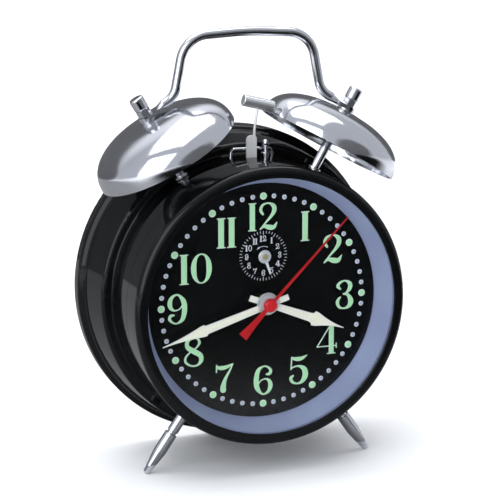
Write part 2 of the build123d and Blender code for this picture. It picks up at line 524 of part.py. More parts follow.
def handle():
    """A bent bar whose two ends are flattened into straps under the nuts of the bell posts."""
    lean = radians(BELL_ANGLE)
    strap_height = (STRAP_BOTTOM + STRAP_TOP) / 2
    along, out = (-cos(lean), sin(lean)), (sin(lean), cos(lean))
    height = strap_height + HANDLE_LIFT

    def beside_bell(distance):
        return (out[0] * height + along[0] * distance, out[1] * height + along[1] * distance)

    start = beside_bell(BAR_START)
    run = (start[0] - HANDLE_HALF_WIDTH - HANDLE_FLARE) / -along[0]
    knee = beside_bell(BAR_START + run)
    corner = (HANDLE_HALF_WIDTH, knee[1] + HANDLE_RISE)
    top = (0.0, corner[1] + HANDLE_CROWN_RISE)
    right = [start, knee, corner]
    left = [(-x, z) for x, z in reversed(right)]
    path = Plane.XZ * FilletPolyline(
        *right, top, *left,
        radius=[HANDLE_BEND, HANDLE_CORNER, HANDLE_CROWN, HANDLE_CORNER, HANDLE_BEND])
    bar = sweep(Plane(path @ 0, z_dir=path % 0) * Circle(HANDLE_RADIUS), path=path)
    for side in (-1, 1):
        lean_here = leaning(side * BELL_ANGLE, 0)
        flat = SlotOverall(STRAP_WIDTH + STRAP_REACH, STRAP_WIDTH)
        flat &= Pos(side * STRAP_REACH / 2, 0) * Rectangle(STRAP_WIDTH + STRAP_REACH, 2 * STRAP_WIDTH)
        strap = extrude(Pos(-side * STRAP_REACH / 2, 0, STRAP_BOTTOM) * flat, amount=STRAP)
        strap -= upright_rod(POST_THREAD + FIT, STRAP_BOTTOM - 1, STRAP_TOP + 1)
        near = Plane((-side * (STRAP_REACH - 0.5), 0, strap_height), x_dir=(0, 1, 0), z_dir=(-side, 0, 0))
        far = Plane((-side * (BAR_START + 0.6), 0, height), x_dir=(0, 1, 0), z_dir=(-side, 0, 0))
        neck = loft([near * RectangleRounded(STRAP_WIDTH - 0.4, STRAP - 0.16, 0.3),
                     far * Circle(HANDLE_RADIUS - 0.02)])
        bar += lean_here * (strap + neck)
    return Pos(0, BELL_Y, 0) * bar


# ---------------------------------------------------------------- striker
def hammer_arm():
    """A stamped blade on the hammer's arbor, with a wire at its top that carries the head."""
    front, back = HAMMER_Y - BLADE / 2, HAMMER_Y + BLADE / 2
    top = CASE_RADIUS + BLADE_RISE
    half = BLADE_WIDTH / 2
    left, right = BLADE_X - half, BLADE_X + half
    blade = make_face(FilletPolyline(
        (left, HAMMER_PIVOT[1]), (left, top), (right, top), (right, HAMMER_PIVOT[1]),
        radius=[0, half * 0.95, half * 0.6, 0], close=True))
    arm = slab(blade + Pos(*HAMMER_PIVOT) * Circle(HAMMER_HUB), front, back)
    arm += arbor(HAMMER_PIVOT, MOVEMENT_FRONT, BACK_PLATE_Y)
    foot_point = Vector(right - WIRE_INSET, HAMMER_Y, top - 2 * WIRE_INSET)
    bend_point = Vector(right - WIRE_INSET, HAMMER_Y, top + 2.0)
    head_point = Vector(HEAD_MIDDLE[0], HAMMER_Y, HEAD_MIDDLE[1])
    wire = Polyline(foot_point, bend_point, head_point)
    arm += sweep(Plane(foot_point, z_dir=(0, 0, 1)) * Circle(WIRE_RADIUS), path=wire,
                 transition=Transition.ROUND)
    reach_in = hypot(ALARM_ESCAPE_PLACE[0] - HAMMER_PIVOT[0], ALARM_ESCAPE_PLACE[1] - HAMMER_PIVOT[1])
    towards = bearing(HAMMER_PIVOT, ALARM_ESCAPE_PLACE)
    length = reach_in - ALARM_ESCAPE_RADIUS - 0.5
    lever = Pos(*HAMMER_PIVOT) * Rot(0, 0, towards) * (Pos(length / 2, 0) * Rectangle(length, HAMMER_TAIL))
    lever += Pos(*HAMMER_PIVOT) * Circle(HAMMER_TAIL_HUB)
    return arm + slab(lever, ALARM_ESCAPE_Y, ALARM_ESCAPE_Y + WHEEL)


def hammer_head():
    head = turned([(0, -HEAD_LENGTH / 2), (HEAD_RADIUS, -HEAD_LENGTH / 2), (HEAD_RADIUS, HEAD_LENGTH / 2),
                   (0, HEAD_LENGTH / 2)], [0, 0.35, 0.35, 0])
    head = Pos(HEAD_MIDDLE[0], HAMMER_Y, HEAD_MIDDLE[1]) * Rot(0, 90 + HEAD_TILT, 0) * head
    below = Vector(BLADE_X + BLADE_WIDTH / 2 - WIRE_INSET, HAMMER_Y, CASE_RADIUS + BLADE_RISE + 2.0)
    middle = Vector(HEAD_MIDDLE[0], HAMMER_Y, HEAD_MIDDLE[1])
    up = (middle - below).normalized()
    seat = Plane(below, z_dir=up) * Circle(WIRE_RADIUS + TIGHT)
    return head - extrude(seat, amount=(middle - below).length + 0.05)


def striker_rail():
    """A wire staple behind the striker's slot, its two legs through the drum."""
    height = CASE_RADIUS + RAIL_HEIGHT
    low = DRUM_INSIDE - RAIL_TAIL
    points = [Vector(RAIL_ENDS[0], RAIL_Y, low), Vector(RAIL_ENDS[0], RAIL_Y, height),
              Vector(RAIL_ENDS[1], RAIL_Y, height), Vector(RAIL_ENDS[1], RAIL_Y, low)]
    path = FilletPolyline(*points, radius=RAIL_BEND)
    return sweep(Plane(points[0], z_dir=(0, 0, 1)) * Circle(RAIL_RADIUS), path=path)


def striker_stop():
    """A turned stud with a ball top and a thin collar, beside the striker."""
    seat = (CASE_RADIUS ** 2 - (STOP_X - STOP_COLLAR) ** 2) ** 0.5 + TIGHT
    tail, flange = seat - SHEET - STOP_TAIL, seat + STOP_FLANGE_TOP
    stud = turned([(0, tail), (STOP_SHANK, tail), (STOP_SHANK, seat), (STOP_COLLAR, seat),
                   (STOP_COLLAR, seat + STOP_COLLAR_TOP), (STOP_FLANGE, seat + STOP_COLLAR_TOP),
                   (STOP_FLANGE, flange), (STOP_NECK, flange), (STOP_NECK, seat + STOP_NECK_TOP),
                   (0, seat + STOP_NECK_TOP)])
    ball = Pos(0, 0, seat + STOP_BALL_RISE) * Sphere(STOP_BALL)
    return Pos(STOP_X, STOP_Y, 0) * (stud + ball)


# ---------------------------------------------------------------- hands
def baton_hand(length, neck, shoulder, tail, tail_width, hub):
    """A hand with a slim neck, a stepped shoulder and a hollow taper to its point."""
    step = 0.60 * length
    side = [(tail_width / 2, -tail), (tail_width / 2, -hub * 0.6), (neck / 2, hub * 0.8),
            (neck / 2 * 1.35, step - 0.4), (shoulder / 2, step), (shoulder / 2 * 0.92, step + 1.6)]
    tip = (0.14, length)
    mirrored = [(-x, z) for x, z in reversed(side)]
    taper = ThreePointArc(side[-1], (shoulder * 0.19, step + (length - step) * 0.50), tip)
    taper_back = ThreePointArc((-tip[0], tip[1]), (-shoulder * 0.19, step + (length - step) * 0.50),
                               mirrored[0])
    edges = [Polyline(*side), taper, Line(tip, (-tip[0], tip[1])), taper_back, Polyline(*mirrored),
             Line(mirrored[-1], side[0])]
    return make_face(edges) + Circle(hub)


def seconds_outline():
    points = [(1.9, -SECONDS_TAIL), (1.2, -9.0), (0.75, -2.0), (0.6, 3.0), (0.22, SECONDS_LENGTH)]
    mirrored = [(-x, z) for x, z in reversed(points)]
    return make_face(Polyline(*points, *mirrored, close=True)) + Circle(SECONDS_HUB)


def alarm_outline():
    points = [(0.5, -ALARM_TAIL), (0.55, 1.8), (0.25, ALARM_LENGTH)]
    mirrored = [(-x, z) for x, z in reversed(points)]
    return make_face(Polyline(*points, *mirrored, close=True)) + Circle(ALARM_HUB)


def pointed(outline, bore, place, clock_angle, front):
    """A hand cut from sheet, turned clockwise from twelve."""
    flat = Pos(*place) * Rot(0, 0, -clock_angle) * (outline - Circle(bore))
    return slab(flat, front, front + HAND_SHEET)


# ---------------------------------------------------------------- movement frame
ARBOR_PLACES = (THIRD_PLACE, PALLET_PLACE, BALANCE_PLACE, HAMMER_PIVOT, ALARM_ESCAPE_PLACE)


def plate_blank(front):
    flat = Circle(PLATE_RADIUS)
    for place in ARBOR_PLACES:
        flat -= Pos(*place) * Circle(PIVOT + RUNNING)
    for place in PILLARS:
        flat -= Pos(*place) * Circle(PILLAR_TENON + RUNNING)
    for place in (TIME_BARREL, ALARM_BARREL):
        flat -= Pos(*place) * Circle(WINDING_ARBOR + RUNNING)
    for place in (SET_PLACE, ALARM_CENTRE):
        flat -= Pos(*place) * Circle(ARBOR + RUNNING)
    return flat


def front_plate():
    """The front plate, with ears that centre it in the drum and a bridge for the escape wheel."""
    flat = plate_blank(FRONT_PLATE_Y) - Circle(CENTRE_TUBE + RUNNING)
    ear_reach = DRUM_INSIDE - 4 * FIT
    for angle in EAR_ANGLES:
        ear = Rot(0, 0, angle) * (Pos(ear_reach / 2, 0) * Rectangle(ear_reach, EAR_WIDTH))
        flat += (ear & (Circle(ear_reach) - Circle(PLATE_RADIUS - 1)))
    for angle in DIAL_FEET:
        flat -= Pos(*polar(DIAL_FOOT_PLACE_RADIUS, angle)) * Circle(DIAL_FOOT_RADIUS / 2 + RUNNING)
    flat -= Pos(*MINUTE_PLACE) * Circle(PIVOT + RUNNING)
    plate = slab(flat, FRONT_PLATE_Y, MOVEMENT_FRONT)
    plate += rod(BRIDGE_FOOT, BRIDGE_POST, MOVEMENT_FRONT - 0.2, BRIDGE_Y + 0.2)
    span = hypot(BRIDGE_FOOT[0] - ESCAPE_PLACE[0], BRIDGE_FOOT[1] - ESCAPE_PLACE[1])
    bar = Pos(*BRIDGE_FOOT) * Rot(0, 0, bearing(BRIDGE_FOOT, ESCAPE_PLACE)) * (
        Pos(span / 2, 0) * SlotOverall(span + BRIDGE_WIDTH, BRIDGE_WIDTH))
    bar -= Pos(*ESCAPE_PLACE) * Circle(SMALL_PIVOT + RUNNING)
    return plate + slab(bar, BRIDGE_Y, BRIDGE_Y + PLATE)


def back_plate():
    """The back plate, with the boss that the regulator turns on and the hairspring's stud."""
    flat = plate_blank(BACK_PLATE_Y) - Circle(PIVOT + RUNNING)
    flat -= Pos(*ESCAPE_PLACE) * Circle(SMALL_PIVOT + RUNNING)
    flat -= Pos(*BUTTON_PLACE) * Circle(BUTTON_ROD + RUNNING)
    plate = slab(flat, BACK_PLATE_Y, MOVEMENT_BACK)
    boss = tube(BALANCE_PLACE, REGULATOR_BOSS, PIVOT + RUNNING, MOVEMENT_BACK - 0.1, MOVEMENT_BACK + 1.2)
    stud = rod(STUD_PLACE, STUD_RADIUS, HAIRSPRING_Y - 0.4, BACK_PLATE_Y + 0.1)
    return plate + boss + stud


def plate_pillars():
    pillars = []
    for place in PILLARS:
        pillar = rod(place, PILLAR_RADIUS, MOVEMENT_FRONT + 0.01, BACK_PLATE_Y - 0.01)
        pillar += rod(place, PILLAR_TENON, FRONT_PLATE_Y + 0.1, MOVEMENT_BACK + PILLAR_NUT + 0.4)
        pillars.append(pillar)
    return Compound(pillars)


def pillar_nuts():
    return Compound([depth_hex(place, PILLAR_NUT_FLATS, PILLAR_TENON + TIGHT, MOVEMENT_BACK + TIGHT,
                               MOVEMENT_BACK + PILLAR_NUT) for place in PILLARS])


# ---------------------------------------------------------------- barrels: wheel, spring, ratchet, key
def great_wheel(place, teeth, phase):
    """A great wheel that runs on its winding arbor, with the stud of its click."""
    shape = wheel(place, teeth, GREAT_MODULE, phase, GREAT_WHEEL_Y, GREAT_WHEEL_Y + GREAT_WHEEL, 5, 4.2)
    shape -= rod(place, WINDING_ARBOR + RUNNING, 0, 60)
    stud = polar(CLICK_REACH, CLICK_ANGLE, place)
    web = slab(Pos(*stud) * Circle(2.2), GREAT_WHEEL_Y, GREAT_WHEEL_Y + GREAT_WHEEL)
    return shape + web + rod(stud, CLICK_STUD, GREAT_WHEEL_Y, RATCHET_Y + 1.6)


def winding_arbor(place):
    """A winding arbor with its ratchet wheel, and a squared end for the key."""
    body = rod(place, WINDING_ARBOR, FRONT_PLATE_Y + 0.2, KEY_BACK - KEY_SOCKET_SHORT)
    body += rod(place, RATCHET_COLLAR, GREAT_WHEEL_Y - 1.2, GREAT_WHEEL_Y - FIT)
    ratchet = Pos(*place) * sawtooth(RATCHET_TEETH, RATCHET_RADIUS, 1.1, 100.0)
    body += slab(ratchet, RATCHET_Y, RATCHET_Y + RATCHET)
    return body + rod(place, SPRING_CORE, RATCHET_Y + RATCHET - 0.1, SPRING_BACK)


def click(place):
    """A pawl on its stud, its nose just clear of the ratchet's teeth."""
    stud = polar(CLICK_REACH, CLICK_ANGLE, place)
    towards = CLICK_ANGLE + 180 - 52
    nose = Rot(0, 0, towards) * make_face(Polyline((-1.0, -1.0), (2.0, -1.0), (CLICK_NOSE, 0.2),
                                                   (CLICK_NOSE, 0.8), (2.0, 1.1), (-1.0, 1.0), close=True))
    flat = Pos(*stud) * ((nose + Circle(CLICK_HUB)) - Circle(CLICK_STUD + RUNNING))
    return slab(flat, RATCHET_Y + 0.1, RATCHET_Y + 1.2)


def mainspring(place):
    return strip_spiral(place, SPRING_CORE + SPRING_STRIP + 0.1, SPRING_RADIUS, SPRING_STRIP, SPRING_TURNS,
                        SPRING_FRONT, SPRING_BACK - 0.2)


def winding_key(place, turn):
    """A wing key screwed on a winding arbor."""
    front = KEY_BACK - KEY_LENGTH
    socket = rod(place, WINDING_ARBOR + TIGHT, front - 1, KEY_BACK - KEY_SOCKET_SHORT + TIGHT)
    hub = rod(place, KEY_HUB, front, KEY_BACK - KEY_HUB_SHORT) - socket
    wing_flat = Rot(0, 0, turn) * Rectangle(KEY_SPAN, KEY_SHEET)
    wing = slab(Pos(*place) * wing_flat, KEY_BACK - KEY_HEIGHT, KEY_BACK)
    wing = fillet(wing.edges().filter_by(
        lambda e: abs(e.length - KEY_SHEET) < 0.01 and e.center().Y > KEY_BACK - 0.1), KEY_HEIGHT * 0.45)
    return hub + (wing - socket)


def knob(place, bore):
    """A fluted knob on the end of an arbor."""
    front = COVER_BACK + KNOB_STANDOFF
    flat = Circle(KNOB_RADIUS)
    for flute in range(KNOB_FLUTES):
        flat -= Pos(*polar(KNOB_RADIUS + 0.3, 360 / KNOB_FLUTES * flute)) * Circle(FLUTE_RADIUS)
    body = slab(Pos(*place) * flat, front, front + KNOB_LENGTH)
    return body - rod(place, bore, front - 1, front + KNOB_LENGTH - 1.2)


# ---------------------------------------------------------------- phases of the meshed wheels
TO_BARREL = bearing(CENTRE, TIME_BARREL)
GREAT_PHASE = meshed(CENTRE_PINION, 0, TO_BARREL, GREAT_TEETH)
THIRD_PINION_PHASE = meshed(CENTRE_TEETH, 0, THIRD_ANGLE, THIRD_PINION)
FOURTH_PINION_PHASE = meshed(THIRD_TEETH, 0, THIRD_ANGLE + 180, FOURTH_PINION)
ESCAPE_PINION_PHASE = meshed(FOURTH_TEETH, 0, ESCAPE_ANGLE, ESCAPE_PINION)
MINUTE_PHASE = meshed(CANNON_TEETH, 0, MINUTE_WHEEL_ANGLE, MINUTE_TEETH)
SET_PHASE = meshed(MINUTE_TEETH, MINUTE_PHASE, SET_PINION_ANGLE, SET_TEETH)
HOUR_PHASE = meshed(MINUTE_PINION, 0, MINUTE_WHEEL_ANGLE + 180, HOUR_TEETH)
ALARM_WHEEL_PHASE = meshed(HOUR_TEETH, HOUR_PHASE, 90, HOUR_TEETH)
ALARM_PINION_PHASE = meshed(ALARM_GREAT_TEETH, 0, ALARM_ESCAPE_ANGLE, ALARM_PINION)


# ---------------------------------------------------------------- going train
def centre_wheel():
    """The centre wheel and pinion on a hollow arbor, which the seconds arbor runs through."""
    shape = tube(CENTRE, CENTRE_TUBE, FOURTH_ARBOR + RUNNING, MINUTE_HAND_Y - 0.3, CENTRE_TUBE_BACK)
    body = pinion(CENTRE, CENTRE_PINION, GREAT_MODULE, 0, GREAT_WHEEL_Y - 0.4,
                  GREAT_WHEEL_Y + GREAT_WHEEL + 0.3)
    body += wheel(CENTRE, CENTRE_TEETH, CENTRE_MODULE, 0, CENTRE_WHEEL_Y, CENTRE_WHEEL_Y + WHEEL)
    body += rod(CENTRE, 2.0, GREAT_WHEEL_Y + GREAT_WHEEL, CENTRE_WHEEL_Y + 0.1)
    return shape + (body - rod(CENTRE, CENTRE_TUBE - 0.1, 0, 60))


def third_wheel():
    shape = arbor(THIRD_PLACE, MOVEMENT_FRONT, BACK_PLATE_Y)
    shape += pinion(THIRD_PLACE, THIRD_PINION, CENTRE_MODULE, THIRD_PINION_PHASE,
                    CENTRE_WHEEL_Y - PINION_OVERHANG, CENTRE_WHEEL_Y + WHEEL + PINION_OVERHANG)
    return shape + wheel(THIRD_PLACE, THIRD_TEETH, THIRD_MODULE, 0, THIRD_WHEEL_Y, THIRD_WHEEL_Y + WHEEL)


def fourth_wheel():
    """The fourth wheel, whose long arbor carries the seconds hand."""
    shape = rod(CENTRE, FOURTH_ARBOR, SECONDS_HAND_Y - 0.5, BACK_PLATE_Y - RUNNING)
    shape += rod(CENTRE, PIVOT, BACK_PLATE_Y - 0.2, MOVEMENT_BACK)
    shape += pinion(CENTRE, FOURTH_PINION, THIRD_MODULE, FOURTH_PINION_PHASE,
                    THIRD_WHEEL_Y - PINION_OVERHANG, THIRD_WHEEL_Y + WHEEL + PINION_OVERHANG)
    return shape + wheel(CENTRE, FOURTH_TEETH, FOURTH_MODULE, 0, FOURTH_WHEEL_Y,
                         FOURTH_WHEEL_Y + WHEEL, 4, 1.8)


def escape_wheel():
    shape = arbor(ESCAPE_PLACE, BRIDGE_Y + PLATE, BACK_PLATE_Y, SMALL_ARBOR, SMALL_PIVOT)
    shape += pinion(ESCAPE_PLACE, ESCAPE_PINION, FOURTH_MODULE, ESCAPE_PINION_PHASE,
                    FOURTH_WHEEL_Y - PINION_OVERHANG, FOURTH_WHEEL_Y + WHEEL + PINION_OVERHANG)
    outline = crossed(sawtooth(ESCAPE_TEETH, ESCAPE_RADIUS, 1.2), ESCAPE_RADIUS - 1.2, 0.9, 1.3, 3)
    return shape + slab(Pos(*ESCAPE_PLACE) * outline, ESCAPE_WHEEL_Y, ESCAPE_WHEEL_Y + 0.6)


def pallet_lever():
    """The lever: two pallet arms beside the escape wheel and a fork towards the balance."""
    back = bearing(PALLET_PLACE, ESCAPE_PLACE)
    ahead = bearing(PALLET_PLACE, BALANCE_PLACE)
    fork = BALANCE_STEP - 2.6
    flat = Circle(1.6) + Rot(0, 0, ahead) * (Pos(fork / 2, 0) * Rectangle(fork, 1.0))
    jaws = Rectangle(1.6, 3.0) - Pos(0.5, 0) * Rectangle(1.2, 1.1)
    flat += Rot(0, 0, ahead) * (Pos(fork - 0.4, 0) * jaws)
    for side in (-1, 1):
        tip = polar(ESCAPE_RADIUS + 0.9, back + 180 + side * 42, ESCAPE_PLACE)
        length = hypot(tip[0] - PALLET_PLACE[0], tip[1] - PALLET_PLACE[1])
        arm_angle = bearing(PALLET_PLACE, tip)
        flat += Rot(0, 0, arm_angle) * (Pos(length / 2, 0) * Rectangle(length, 1.1))
    shape = slab(Pos(*PALLET_PLACE) * flat, PALLET_Y, PALLET_Y + 0.8)
    return shape + arbor(PALLET_PLACE, MOVEMENT_FRONT, BACK_PLATE_Y)


def balance_wheel():
    """The balance on its staff, with the roller and its impulse pin in front of the lever."""
    rim = Circle(BALANCE_RADIUS) - Circle(BALANCE_RADIUS - BALANCE_RIM)
    rim += Rectangle(2 * BALANCE_RADIUS - 1, 1.6) + Circle(1.8)
    shape = slab(Pos(*BALANCE_PLACE) * rim, BALANCE_Y, BALANCE_Y + 1.3)
    shape += arbor(BALANCE_PLACE, MOVEMENT_FRONT, BACK_PLATE_Y)
    roller_back = PALLET_Y - FORK_GAP - ROLLER
    shape += rod(BALANCE_PLACE, ROLLER_RADIUS, roller_back - ROLLER, roller_back)
    pin = polar(IMPULSE_PIN_REACH, BALANCE_ANGLE + 180, BALANCE_PLACE)
    return shape + rod(pin, IMPULSE_PIN, roller_back - 0.1, PALLET_Y - FORK_GAP)


def hairspring():
    return strip_spiral(BALANCE_PLACE, 1.25, HAIRSPRING_RADIUS, HAIRSPRING_STRIP, HAIRSPRING_TURNS,
                        HAIRSPRING_Y, HAIRSPRING_Y + 0.8)


def regulator_lever():
    """The fast and slow lever, on the balance's boss, its tab through the rear cover."""
    flat = Circle(REGULATOR_BOSS + REGULATOR_RING)
    arm = Pos(REGULATOR_REACH / 2, 0) * Rectangle(REGULATOR_REACH + 1.2, REGULATOR_ARM)
    flat += Rot(0, 0, REGULATOR_ANGLE) * arm
    flat -= Circle(REGULATOR_BOSS + RUNNING)
    front = MOVEMENT_BACK + FIT
    lever = slab(Pos(*BALANCE_PLACE) * flat, front, front + REGULATOR_SHEET)
    tab = Pos(REGULATOR_REACH, 0) * Rectangle(REGULATOR_TAB, REGULATOR_ARM)
    tab_flat = Pos(*BALANCE_PLACE) * Rot(0, 0, REGULATOR_ANGLE) * tab
    return lever + slab(tab_flat, front, COVER_BACK + 2.6)


# ---------------------------------------------------------------- motion work
def cannon_pinion():
    """The tube that carries the minute hand, with the pinion that drives the motion work."""
    back = CANNON_PINION_Y + WHEEL + PINION_OVERHANG
    shape = pinion(CENTRE, CANNON_TEETH, CANNON_MODULE, 0, CANNON_PINION_Y - PINION_OVERHANG, back)
    shape += rod(CENTRE, CANNON_TUBE, MINUTE_HAND_Y - 0.2, back)
    return shape - rod(CENTRE, CENTRE_TUBE + TIGHT, -20, 60)


def minute_wheel():
    shape = rod(MINUTE_PLACE, PIVOT, CANNON_PINION_Y + WHEEL, MOVEMENT_FRONT - 0.1)
    shape += wheel(MINUTE_PLACE, MINUTE_TEETH, CANNON_MODULE, MINUTE_PHASE, CANNON_PINION_Y,
                   CANNON_PINION_Y + WHEEL, 3, 1.9)
    shape += rod(MINUTE_PLACE, ARBOR, CANNON_PINION_Y, FRONT_PLATE_Y - RUNNING)
    return shape + pinion(MINUTE_PLACE, MINUTE_PINION, HOUR_MODULE, 0, HOUR_WHEEL_Y - 0.5,
                          CANNON_PINION_Y + 0.1)


def hour_wheel():
    """The hour wheel on its tube, which carries the hour hand."""
    shape = wheel(CENTRE, HOUR_TEETH, HOUR_MODULE, HOUR_PHASE, HOUR_WHEEL_Y, HOUR_WHEEL_Y + WHEEL, 4, 3.4)
    shape += rod(CENTRE, HOUR_TUBE, HOUR_HAND_Y - 0.2, HOUR_WHEEL_Y + WHEEL + 0.8)
    return shape - rod(CENTRE, CANNON_TUBE + RUNNING, -20, 60)


def set_arbor():
    """The hand-setting arbor, from the minute wheel to its knob behind the cover."""
    shape = rod(SET_PLACE, ARBOR, FRONT_PLATE_Y - 3.4, COVER_BACK + KNOB_ARBOR_END)
    shape += rod(SET_PLACE, 1.5, MOVEMENT_FRONT + RUNNING, MOVEMENT_FRONT + 1)
    return shape + pinion(SET_PLACE, SET_TEETH, CANNON_MODULE, SET_PHASE, CANNON_PINION_Y - 0.3,
                          CANNON_PINION_Y + WHEEL + 0.3)


# ---------------------------------------------------------------- alarm work
def alarm_arbor():
    """The alarm-setting arbor, right through the clock, with the cam that trips the alarm."""
    shape = rod(ALARM_CENTRE, ARBOR, ALARM_HAND_Y - 0.3, COVER_BACK + KNOB_ARBOR_END)
    shape += rod(ALARM_CENTRE, 2.2, HOUR_WHEEL_Y + WHEEL + 0.3, HOUR_WHEEL_Y + WHEEL + 1.3)
    return shape + rod(ALARM_CENTRE, 1.5, BACK_PLATE_Y - 1, BACK_PLATE_Y - RUNNING)


def alarm_wheel():
    shape = wheel(ALARM_CENTRE, HOUR_TEETH, HOUR_MODULE, ALARM_WHEEL_PHASE, HOUR_WHEEL_Y,
                  HOUR_WHEEL_Y + WHEEL, 4, 2.6)
    return shape - rod(ALARM_CENTRE, ARBOR + RUNNING, -20, 60)


def alarm_escape_wheel():
    shape = arbor(ALARM_ESCAPE_PLACE, MOVEMENT_FRONT, BACK_PLATE_Y)
    shape += pinion(ALARM_ESCAPE_PLACE, ALARM_PINION, GREAT_MODULE, ALARM_PINION_PHASE,
                    GREAT_WHEEL_Y - 0.5, GREAT_WHEEL_Y + GREAT_WHEEL + 0.5)
    outline = sawtooth(ALARM_ESCAPE_TEETH, ALARM_ESCAPE_RADIUS, 1.0)
    return shape + slab(Pos(*ALARM_ESCAPE_PLACE) * outline, ALARM_ESCAPE_Y, ALARM_ESCAPE_Y + WHEEL)


def alarm_stop_button():
    """A push-pull button that holds the striker still."""
    shape = rod(BUTTON_PLACE, BUTTON_ROD, BACK_PLATE_Y - 2, COVER_BACK + 3)
    head = rod(BUTTON_PLACE, BUTTON_HEAD, COVER_BACK + BUTTON_HEAD_FRONT, COVER_BACK + BUTTON_HEAD_BACK)
    head = fillet(head.edges(), 0.6)
    return shape + head


# ---------------------------------------------------------------- the whole clock
save("case_drum", case_drum())
save("bezel", bezel())
save("crystal", crystal())
save("reflector_ring", reflector_ring())
save("dial_plate", dial_plate())
save("rear_cover", rear_cover())
save("cover_screws", cover_screws())
save("foot_left", foot(-1))
save("foot_right", foot(1))
save("foot_nuts", foot_nuts())
save("rear_foot", rear_foot())
save("bell_left", bell(-1))
save("bell_right", bell(1))
save("bell_post_left", bell_post(-1))
save("bell_post_right", bell_post(1))
save("post_nuts", on_posts(post_nut))
save("bell_washers", on_posts(bell_washer))
save("strap_nuts", on_posts(strap_nut))
save("cap_nuts", on_posts(cap_nut))
save("handle", handle())
save("hammer_arm", hammer_arm())
save("hammer_head", hammer_head())
save("striker_rail", striker_rail())
save("striker_stop", striker_stop())

hour_outline = baton_hand(HOUR_LENGTH, HOUR_NECK, HOUR_SHOULDER, HOUR_TAIL, HOUR_TAIL_WIDTH, HOUR_HUB)
minute_outline = baton_hand(MINUTE_LENGTH, MINUTE_NECK, MINUTE_SHOULDER, MINUTE_TAIL,
                            MINUTE_TAIL_WIDTH, MINUTE_HUB)
save("hour_hand", pointed(hour_outline, HOUR_TUBE + TIGHT, CENTRE, HOUR_HAND_ANGLE, HOUR_HAND_Y))
save("minute_hand", pointed(minute_outline, CANNON_TUBE + TIGHT, CENTRE, MINUTE_HAND_ANGLE,
                            MINUTE_HAND_Y))
save("seconds_hand", pointed(seconds_outline(), FOURTH_ARBOR + TIGHT, CENTRE, SECONDS_HAND_ANGLE,
                             SECONDS_HAND_Y))
save("alarm_hand", pointed(alarm_outline(), ARBOR + TIGHT, ALARM_CENTRE, 30 * ALARM_HOURS,
                           ALARM_HAND_Y))

save("front_plate", front_plate())
save("back_plate", back_plate())
save("plate_pillars", plate_pillars())
save("pillar_nuts", pillar_nuts())
save("time_great_wheel", great_wheel(TIME_BARREL, GREAT_TEETH, GREAT_PHASE))
save("alarm_great_wheel", great_wheel(ALARM_BARREL, ALARM_GREAT_TEETH, 0))
for name, place, turn in (("time", TIME_BARREL, TIME_KEY_TURN), ("alarm", ALARM_BARREL, ALARM_KEY_TURN)):
    save(name + "_winding_arbor", winding_arbor(place))
    save(name + "_click", click(place))
    save(name + "_mainspring", mainspring(place))
    save(name + "_key", winding_key(place, turn))
save("centre_wheel", centre_wheel())
save("third_wheel", third_wheel())
save("fourth_wheel", fourth_wheel())
save("escape_wheel", escape_wheel())
save("pallet_lever", pallet_lever())
save("balance_wheel", balance_wheel())
save("hairspring", hairspring())
save("regulator_lever", regulator_lever())
save("cannon_pinion", cannon_pinion())
save("minute_wheel", minute_wheel())
save("hour_wheel", hour_wheel())
save("set_arbor", set_arbor())
save("set_knob", knob(SET_PLACE, ARBOR + TIGHT))
save("alarm_wheel", alarm_wheel())
save("alarm_arbor", alarm_arbor())
save("alarm_knob", knob(ALARM_CENTRE, ARBOR + TIGHT))
save("alarm_escape_wheel", alarm_escape_wheel())
save("alarm_stop_button", alarm_stop_button())

os.makedirs("parts", exist_ok=True)
for name, shape in shelf.items():
    export_step(shape, "parts/" + name + ".step")
print(len(shelf), "nodes")
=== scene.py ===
import json
from math import cos, pi, radians, sin

import bpy
import numpy as np
from mathutils import Matrix, Vector


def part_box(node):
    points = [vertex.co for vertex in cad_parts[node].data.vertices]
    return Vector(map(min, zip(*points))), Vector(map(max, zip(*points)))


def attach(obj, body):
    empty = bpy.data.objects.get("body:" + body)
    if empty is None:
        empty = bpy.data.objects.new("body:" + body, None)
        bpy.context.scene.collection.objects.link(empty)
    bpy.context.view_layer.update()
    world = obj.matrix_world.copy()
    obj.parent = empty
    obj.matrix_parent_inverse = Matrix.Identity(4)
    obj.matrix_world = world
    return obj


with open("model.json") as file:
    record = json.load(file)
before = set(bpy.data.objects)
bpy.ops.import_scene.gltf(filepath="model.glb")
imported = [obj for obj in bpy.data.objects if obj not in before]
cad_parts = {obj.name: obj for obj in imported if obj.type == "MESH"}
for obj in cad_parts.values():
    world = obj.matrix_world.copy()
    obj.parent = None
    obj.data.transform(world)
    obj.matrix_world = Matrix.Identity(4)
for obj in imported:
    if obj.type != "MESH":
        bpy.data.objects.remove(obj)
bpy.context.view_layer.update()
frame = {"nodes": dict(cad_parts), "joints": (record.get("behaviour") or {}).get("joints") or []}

MM = 0.001
spindle = Vector(next(j["pos_m"] for j in frame["joints"] if j["name"] == "minute_turn"))


